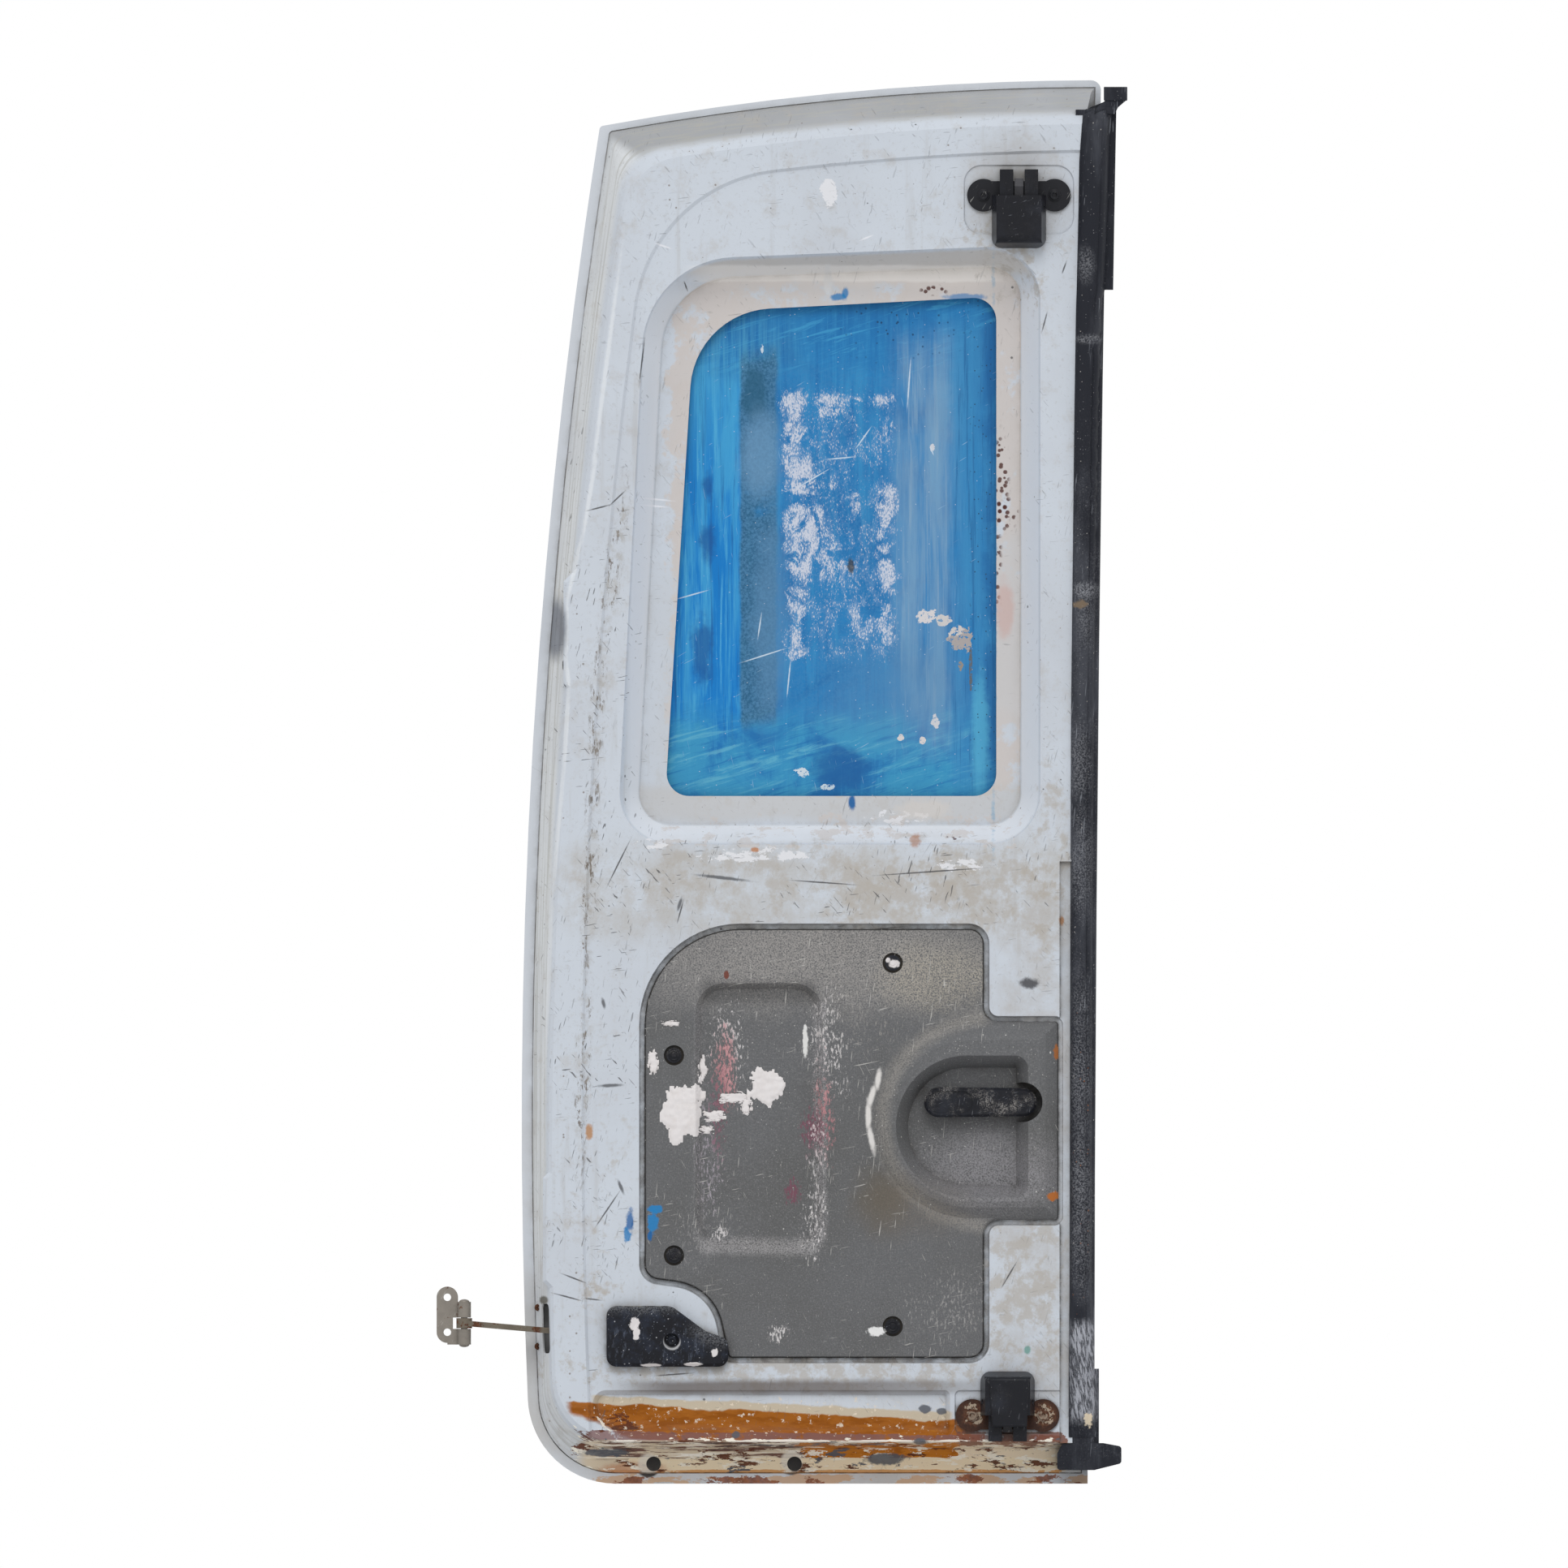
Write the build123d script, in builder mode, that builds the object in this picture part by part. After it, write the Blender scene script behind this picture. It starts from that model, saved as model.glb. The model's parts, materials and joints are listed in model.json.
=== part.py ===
"""Rear barn door leaf of a camper van, taken off its hinges.

X runs from the hinge edge to the meeting edge, Z is up and the inside of the door faces -Y.
The origin is on the lower hinge pad. A depth is measured from the edge of the outer skin
towards the inside of the van.
"""

import os
from math import cos, radians, sin, sqrt, tan

from build123d import *

# Whole door
door_height = 1245.0
door_width = 502.0
door_depth = 46.0
sheet = 1.0
crown = 8.0
side_bow_radius = 5660.0
widest_height = 322.0
top_bow_radius = 2440.0
meeting_lean = 12.0
low_corner_radius = 78.0
top_corner_radius = 4.0
meeting_corner_radius = 9.0

# Where the origin lies in the door
lower_hinge_height = 225.4
hinge_line_setback = 12.0

# Hem and drafted rim of the inner panel, each as insets from the edge of the skin
hem_width = 9.0
hem_top_width = 6.0
hem_meeting_width = 5.0
hem_clearance = 0.2
foot_depth = 3.0
foot_inset = 10.0
foot_top_inset = 7.0
foot_meeting_inset = 6.0
ledge_depth = 16.0
ledge_inset = 15.0
ledge_top_inset = 11.0
ledge_bottom_inset = 31.0
ledge_meeting_inset = 9.0
border_low_inset = 22.0
border_high_inset = 30.0
border_top_inset = 36.0
border_bottom_inset = 37.0
border_meeting_inset = 14.4
border_top_radius = 55.0
border_low_radius = 56.0
crest_bevel = 3.0

# Field inside the raised border
field_step = 2.5
field_inset = 53.0
field_top_inset = 62.0
field_top_radius = 140.0
strip_step = 4.0
strip_width = 10.5
strip_height = 552.0

# Hinge pads
hinge_spacing = 529.0
lower_pad_setback = 18.0
upper_pad_setback = 20.5
pad_height = 92.0
pad_run_out = 22.0
hinge_bolt_spacing = 56.0
hinge_bolt_radius = 4.5
nut_plate_thickness = 5.0
nut_plate_margin = 16.0
nut_plate_width = 24.0
tapped_radius = 4.2

# Window
window_bottom_height = 610.0
window_top_inset = 192.0
window_top_fall = 14.0
window_low_inset = 120.0
window_high_inset = 108.0
window_meeting_inset = 81.0
window_top_radius = 74.0
window_radius = 20.0
reveal_side = 43.0
reveal_top = 46.0
reveal_bottom = 43.0
reveal_meeting = 39.0
reveal_radius = 46.0
reveal_top_radius = 84.0
reveal_draft = 28.0
frame_depth = 9.0
glass_thickness = 4.0
glass_lap = 14.0
glass_gap = 4.0
bead_width = 8.0
bead_height = 7.0
bead_inset = 1.5

# Trim panel and the recess that it sits in
trim_side_inset = 104.0
trim_top_height = 497.0
trim_bottom_height = 106.6
trim_meeting_inset = 87.0
trim_tab_inset = 21.0
trim_top_radius = 90.0
trim_corner_radius = 18.0
trim_tab_radius = 8.0
trim_cut_height = 178.6
trim_cut_drop = 8.6
trim_cut_width = 62.0
trim_cut_slope = 13.6
trim_cut_radius = 42.0
trim_cut_foot_radius = 9.0
trim_recess_depth = 5.0
trim_recess_draft = 12.0
trim_gap = 5.0
trim_sheet = 2.6
trim_rise = 4.5
trim_edge_bevel = 1.6
pocket_side_inset = 50.0
pocket_top_inset = 53.0
pocket_bottom_inset = 100.0
pocket_bezel_gap = 44.0
pocket_depth = 6.0
pocket_draft = 40.0
pocket_radius = 26.0
clip_edge = 31.0
clip_top_drop = 35.0
clip_bezel_lead = 18.0
clip_bottom_rise = 33.0
clip_upper_height = 380.0
clip_lower_height = 202.4
clip_head_radius = 6.8
clip_bore_radius = 9.0
clip_stem_width = 6.0
clip_sink = 2.0
clip_boss_width = 23.0
clip_stem_length = 12.0
clip_head_height = 1.5
clip_clearance = 0.2

# Handle bezel, dish and lever
bezel_height = 321.9
bezel_inset = 102.9
bezel_radius = 88.0
bezel_rise = 10.0
bezel_draft = 50.0
bezel_bevel = 3.0
dish_height = 316.8
dish_inset = 107.0
dish_radius = 63.0
dish_reach = 54.4
dish_corner = 12.0
dish_depth = 22.0
dish_draft = 26.0
pivot_height = 338.4
pivot_inset = 57.6
pivot_well_radius = 17.6
lever_length = 87.5
lever_hub_radius = 12.5
lever_tip_radius = 13.4
lever_thickness = 11.0
lever_floor_gap = 8.0
lever_bevel = 2.2
lever_dimple_length = 40.0
lever_dimple_width = 20.0
lever_dimple_depth = 1.6
spindle_radius = 6.0
spindle_bore_gap = 2.0
running_clearance = 0.05
carrier_sheet = 2.0
carrier_drop = 22.0
carrier_width = 46.0
carrier_foot = 12.0
bearing_radius = 10.0
bearing_length = 10.0
opening_margin = 6.0

# Latches
latch_inset = 71.0
upper_latch_drop = 102.0
lower_latch_height = 60.5
latch_pad_depth = 1.5
latch_pad_width = 98.0
latch_pad_height = 62.0
latch_pad_radius = 16.0
latch_pad_top = 27.0
ear_spacing = 63.0
ear_radius = 14.5
ear_web_height = 25.0
latch_plate_thickness = 2.5
hood_width = 48.0
upper_hood_reach = 47.0
lower_hood_reach = 39.0
hood_open_reach = 23.0
hood_rise = 24.0
hood_draft = 14.0
hood_nose_radius = 9.0
hood_corner_radius = 9.0
hood_bevel = 2.0
cheek_width = 34.0
cheek_rise = 17.0
chamber_width = 10.0
chamber_rise = 20.5
chamber_depth = 24.0
claw_thickness = 8.0
claw_pivot_back = 12.0
claw_pivot_rise = 8.5
claw_hub_radius = 6.0
claw_nose_reach = 15.0
claw_arm_width = 7.0
claw_nose_width = 5.0
claw_pin_radius = 2.5
claw_pin_length = 42.0
claw_hook = 2.5

# Sill recess along the bottom
sill_depth = 6.0
sill_side_inset = 58.0
sill_top_height = 83.0
sill_bottom_height = 44.0
sill_end_inset = 122.0
sill_radius = 12.0
sill_low_radius = 24.0
sill_end_radius = 5.0
sill_draft = 35.0
sill_gap = 4.0
drain_side = 114.0
drain_pitch = 125.0
drain_height = 17.5
drain_radius = 6.5

# Meeting-edge seal
seal_outreach = 6.0
seal_lip_reach = 8.0
seal_back_depth = 4.0
seal_front_depth = 38.0
seal_fillet = 6.0
seal_top_drop = 26.0
seal_bottom_rise = 36.0
seal_lip_depth = 26.0
seal_lip_thickness = 4.0
seal_top_lip_length = 160.0
seal_bottom_lip_length = 66.0
seal_clearance = 0.3
seal_root = 22.0
end_cap_height = 12.0
end_tab_lap = 6.0
end_tab_reach = 18.0
end_tab_height = 14.0
end_foot_height = 24.0
end_foot_reach = 30.0
end_foot_lap = 27.0
end_foot_shoulder = 9.0
end_foot_toe_rise = 6.0
end_foot_toe_drop = 3.0
end_foot_radius = 3.0

# Door check
arm_height = 137.6
arm_depth = 28.0
arm_slope = 5.0
arm_thickness = 5.0
arm_width = 12.0
arm_outer_reach = 54.0
arm_inner_reach = 118.0
arm_eye_radius = 7.0
arm_eye_height = 9.0
arm_stop_length = 6.0
arm_stop_width = 18.0
arm_stop_thickness = 9.0
arm_slot_height = 44.0
arm_slot_width = 22.0
guide_length = 20.0
guide_wall = 4.0
guide_setback = 30.0
guide_clearance = 0.3
check_pin_radius = 3.0
knuckle_radius = 6.0
knuckle_height = 14.0
knuckle_gap = 0.5
knuckle_notch = 4.0
bracket_sheet = 2.5
bracket_hole_spacing = 31.0
bracket_hole_radius = 3.3
bracket_lobe_radius = 9.5
bracket_hole_reach = 15.0
bracket_hole_rise = 7.5
check_cover_side = 71.0
check_cover_height = 103.7
check_cover_length = 108.0
check_cover_rise = 54.0
check_cover_flat = 57.6
check_cover_nose = 24.5
check_cover_slope_length = 30.0
check_cover_slope_drop = 22.3
check_cover_thickness = 11.0
check_cover_bevel = 3.0
check_cover_corner = 9.0
check_cover_shoulder = 16.0
check_cover_screw_radius = 6.8
check_cover_screw_depth = 5.0
check_cover_screw_rise = 23.0

# Places worked out from the sizes above
bottom_z = -lower_hinge_height
top_z = bottom_z + door_height
origin_depth = door_depth - hinge_line_setback
widest_z = bottom_z + widest_height
field_depth = door_depth - field_step
ledge_floor = field_depth - trim_recess_depth
trim_face = ledge_floor + trim_rise
bezel_face = trim_face + bezel_rise
dish_floor = bezel_face - dish_depth
pad_depth = field_depth - latch_pad_depth
latch_face = pad_depth + latch_plate_thickness
mid_z = (bottom_z + top_z) / 2
beyond = 60.0


def side_bow(z):
    """How far the hinge edge curves in from its widest line at height z."""
    return side_bow_radius - sqrt(side_bow_radius**2 - (z - widest_z) ** 2)


hinge_x = -lower_pad_setback - side_bow(0)
meeting_x = hinge_x + door_width


def side_x(z):
    """X of the hinge edge of the skin at height z."""
    return hinge_x + side_bow(z)


def meeting_edge(z):
    """X of the meeting edge of the skin at height z."""
    return meeting_x + meeting_lean * ((z - bottom_z) / door_height) ** 2


def crest_z(x):
    """Z of the top edge of the skin at x."""
    run = meeting_x + meeting_lean - x
    return top_z - top_bow_radius + sqrt(top_bow_radius**2 - run**2)


def level(depth):
    """The plane facing the inside of the van at a depth from the skin's edge."""
    return Plane.XZ.offset(depth - origin_depth)


def rim(side_low, side_high, top, bottom, meeting, top_radius, low_radius, meeting_radius=0.0):
    """The door's outline drawn in from the skin's edge by an inset on each side."""
    low_z = bottom_z + bottom
    corner_z = crest_z(side_x(top_z) + side_high) - top
    corner_x = side_x(corner_z) + side_high
    half_z = (low_z + corner_z) / 2
    low_corner = (side_x(low_z) + side_low, low_z)
    top_corner = (corner_x, crest_z(corner_x) - top)
    half_side = (side_x(half_z) + (side_low + side_high) / 2, half_z)
    meeting_top = (meeting_edge(top_z) - meeting, top_z - top)
    meeting_low = (meeting_edge(low_z) - meeting, low_z)
    meeting_mid_z = (low_z + top_z - top) / 2
    meeting_mid = (meeting_edge(meeting_mid_z) - meeting, meeting_mid_z)
    crest_x = (top_corner[0] + meeting_top[0]) / 2
    crest = (crest_x, crest_z(crest_x) - top)
    with BuildSketch() as outline:
        with BuildLine():
            ThreePointArc(low_corner, half_side, top_corner)
            ThreePointArc(top_corner, crest, meeting_top)
            ThreePointArc(meeting_top, meeting_mid, meeting_low)
            Line(meeting_low, low_corner)
        make_face()
        fillet(outline.vertices().sort_by_distance(low_corner)[0], radius=low_radius)
        fillet(outline.vertices().sort_by_distance(top_corner)[0], radius=top_radius)
        if meeting_radius > 0:
            fillet(outline.vertices().sort_by_distance(meeting_top)[0], radius=meeting_radius)
    return outline.sketch


def rounded(corners):
    """A face with straight sides, from corners given as (x, z, radius)."""
    points = [(x, z) for x, z, radius in corners]
    radii = [radius for x, z, radius in corners]
    with BuildSketch() as outline:
        with BuildLine():
            FilletPolyline(*points, radius=radii, close=True)
        make_face()
    return outline.sketch


def grown(face, amount):
    """The face with its outline moved outwards by an amount."""
    with BuildSketch() as outline:
        add(face)
        if amount != 0:
            offset(amount=amount, kind=Kind.INTERSECTION, mode=Mode.REPLACE)
    return outline.sketch


def skin_band(near, far):
    """The crowned layer between two depths at the skin's edge, wider than the door."""
    with BuildPart() as band:
        with BuildSketch(Plane.YZ.offset(hinge_x - beyond)):
            with BuildLine():
                near_y = origin_depth - near
                far_y = origin_depth - far
                ThreePointArc((near_y, bottom_z), (near_y + crown, mid_z), (near_y, top_z))
                Line((near_y, top_z), (far_y, top_z))
                ThreePointArc((far_y, top_z), (far_y + crown, mid_z), (far_y, bottom_z))
                Line((far_y, bottom_z), (near_y, bottom_z))
            make_face()
        extrude(amount=door_width + 2 * beyond)
    return band.part


def edge_at(inset):
    """The skin's own outline, drawn in by one inset all round."""
    return rim(
        inset,
        inset,
        inset,
        inset,
        inset,
        top_corner_radius,
        low_corner_radius - inset,
        meeting_corner_radius,
    )


edge_outline = edge_at(0)

window_bottom_z = bottom_z + window_bottom_height
window_top_z = top_z - window_top_inset
window_left_top_z = window_top_z - window_top_fall
window_right = meeting_x - window_meeting_inset
window_low_x = side_x(window_bottom_z) + window_low_inset
window_high_x = side_x(window_left_top_z) + window_high_inset
aperture = rounded(
    [
        (window_low_x, window_bottom_z, window_radius),
        (window_right, window_bottom_z, window_radius),
        (window_right, window_top_z, window_radius),
        (window_high_x, window_left_top_z, window_top_radius),
    ]
)
reveal = rounded(
    [
        (window_low_x - reveal_side, window_bottom_z - reveal_bottom, reveal_radius),
        (window_right + reveal_meeting, window_bottom_z - reveal_bottom, reveal_radius),
        (window_right + reveal_meeting, window_top_z + reveal_top, reveal_radius),
        (window_high_x - reveal_side, window_left_top_z + reveal_top, reveal_top_radius),
    ]
)

trim_top_z = bottom_z + trim_top_height
trim_bottom_z = bottom_z + trim_bottom_height
trim_left = side_x((trim_top_z + trim_bottom_z) / 2) + trim_side_inset
trim_right = meeting_x - trim_meeting_inset
trim_tab_right = meeting_x - trim_tab_inset
bezel_z = bottom_z + bezel_height
bezel_x = meeting_x - bezel_inset
tab_top_z = bezel_z + bezel_radius + trim_gap
tab_bottom_z = bezel_z - bezel_radius - trim_gap
trim_cut_z = bottom_z + trim_cut_height
trim_outline = rounded(
    [
        (trim_left, trim_top_z, trim_top_radius),
        (trim_right, trim_top_z, trim_corner_radius),
        (trim_right, tab_top_z, trim_tab_radius),
        (trim_tab_right, tab_top_z, trim_tab_radius),
        (trim_tab_right, tab_bottom_z, trim_tab_radius),
        (trim_right, tab_bottom_z, trim_tab_radius),
        (trim_right, trim_bottom_z, trim_corner_radius),
        (trim_left + trim_cut_width + trim_cut_slope, trim_bottom_z, trim_cut_foot_radius),
        (trim_left + trim_cut_width, trim_cut_z - trim_cut_drop, trim_cut_radius),
        (trim_left, trim_cut_z, trim_corner_radius),
    ]
)
pocket_left = trim_left + pocket_side_inset
pocket_right = bezel_x - bezel_radius - pocket_bezel_gap
pocket_top_z = trim_top_z - pocket_top_inset
pocket_bottom_z = trim_bottom_z + pocket_bottom_inset
pocket_outline = rounded(
    [
        (pocket_left, pocket_top_z, pocket_radius),
        (pocket_right, pocket_top_z, pocket_radius),
        (pocket_right, pocket_bottom_z, pocket_radius),
        (pocket_left, pocket_bottom_z, pocket_radius),
    ]
)
clip_places = [
    (trim_left + clip_edge, bottom_z + clip_upper_height),
    (trim_left + clip_edge, bottom_z + clip_lower_height),
    (bezel_x - bezel_radius + clip_bezel_lead, trim_top_z - clip_top_drop),
    (bezel_x - bezel_radius + clip_bezel_lead, trim_bottom_z + clip_bottom_rise),
]

pivot = (meeting_x - pivot_inset, bottom_z + pivot_height)
dish_x = meeting_x - dish_inset
dish_z = bottom_z + dish_height
dish_right = dish_x + dish_reach


def d_shape(x, z, radius, right, corner):
    """A half disc on the hinge side that runs on to a straight edge at right."""
    with BuildSketch() as outline:
        with BuildLine():
            ThreePointArc((x, z - radius), (x - radius, z), (x, z + radius))
            Line((x, z + radius), (right, z + radius))
            Line((right, z + radius), (right, z - radius))
            Line((right, z - radius), (x, z - radius))
        make_face()
        if corner > 0:
            fillet(outline.vertices().group_by(Axis.X)[-1], radius=corner)
    return outline.sketch


bezel_outline = d_shape(bezel_x, bezel_z, bezel_radius, trim_tab_right - trim_gap, 0)
dish_outline = d_shape(dish_x, dish_z, dish_radius, dish_right, dish_corner)

upper_latch_z = top_z - upper_latch_drop
lower_latch_z = bottom_z + lower_latch_height
upper_latch_x = meeting_edge(upper_latch_z) - latch_inset
lower_latch_x = meeting_edge(lower_latch_z) - latch_inset

sill_top_z = bottom_z + sill_top_height
sill_bottom_z = bottom_z + sill_bottom_height
sill_left = side_x(sill_top_z) + sill_side_inset
sill_right = meeting_x - sill_end_inset
strip_left = meeting_x - border_meeting_inset - strip_width
sill_outline = rounded(
    [
        (sill_left, sill_top_z, sill_radius),
        (sill_right, sill_top_z, sill_end_radius),
        (sill_right, sill_bottom_z, sill_end_radius),
        (sill_left, sill_bottom_z, sill_low_radius),
    ]
)
lower_latch_pad = rounded(
    [
        (sill_right + sill_gap, sill_top_z, sill_end_radius),
        (strip_left + sill_gap, sill_top_z, 0),
        (strip_left + sill_gap, sill_bottom_z, 0),
        (sill_right + sill_gap, sill_bottom_z, sill_end_radius),
    ]
)
pad_half = latch_pad_width / 2
pad_low_z = upper_latch_z + latch_pad_top - latch_pad_height
pad_high_z = upper_latch_z + latch_pad_top
upper_latch_pad = rounded(
    [
        (upper_latch_x - pad_half, pad_high_z, latch_pad_radius),
        (upper_latch_x + pad_half, pad_high_z, latch_pad_radius),
        (upper_latch_x + pad_half, pad_low_z, latch_pad_radius),
        (upper_latch_x - pad_half, pad_low_z, latch_pad_radius),
    ]
)

upper_pad = (side_x(hinge_spacing) + upper_pad_setback, hinge_spacing)
lower_pad = (0.0, 0.0)

arm_z = bottom_z + arm_height
arm_x = side_x(arm_z)
arm_pin = (arm_x - arm_outer_reach, arm_z + arm_outer_reach * tan(radians(arm_slope)))


def border_at(inset):
    """The outline of the raised border, drawn in by an inset."""
    return rim(
        border_low_inset + inset,
        border_high_inset + inset,
        border_top_inset + inset,
        border_bottom_inset + inset,
        border_meeting_inset + inset,
        border_top_radius,
        border_low_radius,
    )


def field_at(inset):
    """The outline of the field inside the border, drawn in by an inset. It runs out past the other two sides."""
    return rim(
        field_inset + inset,
        field_inset + inset,
        field_top_inset + inset,
        -beyond,
        -beyond,
        field_top_radius,
        sheet,
    )


def pad_outline(x, z, half):
    """A hinge pad in plan: its face at x and ends that run out into the rim."""
    with BuildSketch() as outline:
        with BuildLine():
            Polyline(
                (x, z + half),
                (x, z - half),
                (x + pad_run_out, z - half - pad_run_out),
                (x + pad_run_out, z + half + pad_run_out),
                close=True,
            )
        make_face()
    return outline.sketch


def pressing(skin):
    """The inner panel as a closed form, with every wall moved in by the skin."""
    foot = rim(
        foot_inset + skin,
        foot_inset + skin,
        foot_top_inset + skin,
        foot_inset + skin,
        foot_meeting_inset + skin,
        top_corner_radius,
        low_corner_radius - foot_inset,
    )
    ledge = rim(
        ledge_inset + skin,
        ledge_inset + skin,
        ledge_top_inset + skin,
        ledge_bottom_inset + skin,
        ledge_meeting_inset + skin,
        border_top_radius / 3,
        border_low_radius,
    )
    with BuildPart() as form:
        with BuildSketch(level(foot_depth - crown - 4 * sheet - skin)):
            add(foot)
        extrude(amount=crown + 4 * sheet)
        with BuildSketch(level(foot_depth - skin)):
            add(foot)
        with BuildSketch(level(ledge_depth - skin)):
            add(ledge)
        loft(ruled=True)
        with BuildSketch(level(ledge_depth - skin)):
            add(ledge)
        with BuildSketch(level(door_depth - crest_bevel - skin)):
            add(border_at(skin))
        loft(ruled=True)
        with BuildSketch(level(door_depth - crest_bevel - skin)):
            add(border_at(skin))
        with BuildSketch(level(door_depth - skin)):
            add(border_at(crest_bevel + skin))
        loft(ruled=True)
        for pad_x, pad_z in (upper_pad, lower_pad):
            with BuildSketch(level(foot_depth - skin)):
                add(pad_outline(pad_x + skin, pad_z, pad_height / 2 - skin))
            extrude(amount=door_depth - foot_depth - crest_bevel)
            with BuildSketch(level(door_depth - crest_bevel - skin)):
                add(pad_outline(pad_x + skin, pad_z, pad_height / 2 - skin))
            extrude(amount=crest_bevel, taper=45)
        with BuildSketch(level(door_depth + field_step - skin)):
            add(field_at(-field_step - skin))
        with BuildSketch(level(field_depth - skin)):
            add(field_at(field_step - skin))
        loft(ruled=True, mode=Mode.SUBTRACT)
        with BuildSketch(level(field_depth - skin)):
            add(grown(reveal, skin))
        extrude(amount=frame_depth - field_depth, taper=reveal_draft, mode=Mode.SUBTRACT)
        with BuildSketch(level(field_depth - skin)):
            add(grown(trim_outline, skin))
        extrude(amount=-trim_recess_depth, taper=trim_recess_draft, mode=Mode.SUBTRACT)
        strip_x = meeting_x - border_meeting_inset - strip_width - skin
        with BuildSketch(level(field_depth - strip_step - skin)):
            with Locations((strip_x, bottom_z - beyond)):
                Rectangle(
                    strip_width + beyond,
                    strip_height + beyond + skin,
                    align=(Align.MIN, Align.MIN),
                )
        extrude(amount=door_depth, mode=Mode.SUBTRACT)
        with BuildSketch(level(field_depth - skin)):
            add(grown(sill_outline, skin))
        extrude(amount=-sill_depth, taper=sill_draft, mode=Mode.SUBTRACT)
        for pad in (upper_latch_pad, lower_latch_pad):
            with BuildSketch(level(field_depth - skin)):
                add(grown(pad, skin))
            extrude(amount=-latch_pad_depth, taper=sill_draft, mode=Mode.SUBTRACT)
    return form.part


def hole_behind(left, right, low_z, high_z):
    """A plain hole in the panel behind a moulded recess, clear of it by the opening margin."""
    with BuildSketch() as hole:
        with Locations(((left + right) / 2, (low_z + high_z) / 2)):
            Rectangle(right - left + 2 * opening_margin, high_z - low_z + 2 * opening_margin)
    return hole.sketch


os.makedirs("parts", exist_ok=True)


def finish(piece, name):
    """Label a finished piece and write it to its file."""
    piece.part.label = name
    export_step(piece.part, f"parts/{name}.step")


# Inner panel: flange in the hem, pressed form and its openings
with BuildPart() as pressed_form:
    add(pressing(0))
    add(skin_band(sheet, door_depth + 2 * crown), mode=Mode.INTERSECT)

with BuildPart() as inner_panel:
    with BuildSketch(level(-2 * crown)):
        add(edge_at(sheet + hem_clearance))
    extrude(amount=2 * crown + ledge_depth)
    add(skin_band(sheet, 2 * sheet), mode=Mode.INTERSECT)
    add(pressed_form.part)
    add(pressing(sheet), mode=Mode.SUBTRACT)
    with BuildSketch(level(frame_depth - 2 * sheet)):
        add(aperture)
    extrude(amount=3 * sheet, mode=Mode.SUBTRACT)
    with BuildSketch(level(ledge_floor - 2 * sheet)):
        add(hole_behind(pocket_left, pocket_right, pocket_bottom_z, pocket_top_z))
        add(
            hole_behind(
                dish_x - dish_radius,
                pivot[0] + pivot_well_radius,
                dish_z - dish_radius,
                dish_z + dish_radius,
            )
        )
        with Locations(*clip_places):
            Rectangle(clip_stem_width + clip_clearance, clip_stem_width + clip_clearance)
    extrude(amount=3 * sheet, mode=Mode.SUBTRACT)
    for pad_x, pad_z in (upper_pad, lower_pad):
        with BuildSketch(Plane.YZ.offset(pad_x - sheet)):
            with Locations((0, pad_z)):
                with GridLocations(0, hinge_bolt_spacing, 1, 2):
                    Circle(hinge_bolt_radius)
        extrude(amount=3 * sheet, mode=Mode.SUBTRACT)
    with BuildSketch(Plane.YZ.offset(arm_x + foot_inset)):
        with Locations((origin_depth - arm_depth, arm_z)):
            RectangleRounded(arm_slot_width, arm_slot_height, arm_slot_width / 4)
    extrude(amount=border_high_inset, mode=Mode.SUBTRACT)
    with BuildSketch(level(foot_depth - sheet)):
        with Locations((arm_x + drain_side + drain_pitch / 2, bottom_z + drain_height)):
            with GridLocations(drain_pitch, 0, 2, 1):
                Circle(drain_radius)
    extrude(amount=ledge_depth, mode=Mode.SUBTRACT)
finish(inner_panel, "inner_panel")

# Outer skin: crowned sheet, folded hem and the window rebate
rebate = grown(aperture, glass_lap + glass_gap)
with BuildPart() as hem:
    with BuildSketch(level(-2 * crown)):
        add(edge_outline)
        add(
            rim(
                hem_width,
                hem_width,
                hem_top_width,
                hem_width,
                hem_meeting_width,
                top_corner_radius,
                low_corner_radius - hem_width,
            ),
            mode=Mode.SUBTRACT,
        )
    extrude(amount=2 * crown + ledge_depth)
    add(skin_band(2 * sheet, 3 * sheet), mode=Mode.INTERSECT)

with BuildPart() as fold:
    with BuildSketch(level(-2 * crown)):
        add(edge_outline)
        add(edge_at(sheet), mode=Mode.SUBTRACT)
    extrude(amount=2 * crown + ledge_depth)
    add(skin_band(0, 3 * sheet), mode=Mode.INTERSECT)

with BuildPart() as rebate_wall:
    with BuildSketch(level(-2 * crown)):
        add(grown(rebate, sheet))
        add(rebate, mode=Mode.SUBTRACT)
    extrude(amount=2 * crown + frame_depth - sheet)
    add(skin_band(0, door_depth), mode=Mode.INTERSECT)

with BuildPart() as outer_skin:
    with BuildSketch(level(-2 * crown)):
        add(edge_outline)
        add(rebate, mode=Mode.SUBTRACT)
    extrude(amount=2 * crown + ledge_depth)
    add(skin_band(0, sheet), mode=Mode.INTERSECT)
    add(hem.part)
    add(fold.part)
    add(rebate_wall.part)
    with BuildSketch(level(frame_depth - 2 * sheet)):
        add(grown(rebate, sheet))
        add(aperture, mode=Mode.SUBTRACT)
    extrude(amount=sheet)
finish(outer_skin, "outer_skin")

# Window glass and the bead that bonds it into the rebate
bead_back = frame_depth - 2 * sheet
glass_back = bead_back - bead_height
with BuildPart() as window_glass:
    with BuildSketch(level(glass_back - glass_thickness)):
        add(grown(aperture, glass_lap))
    extrude(amount=glass_thickness)
finish(window_glass, "window_glass")

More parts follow.
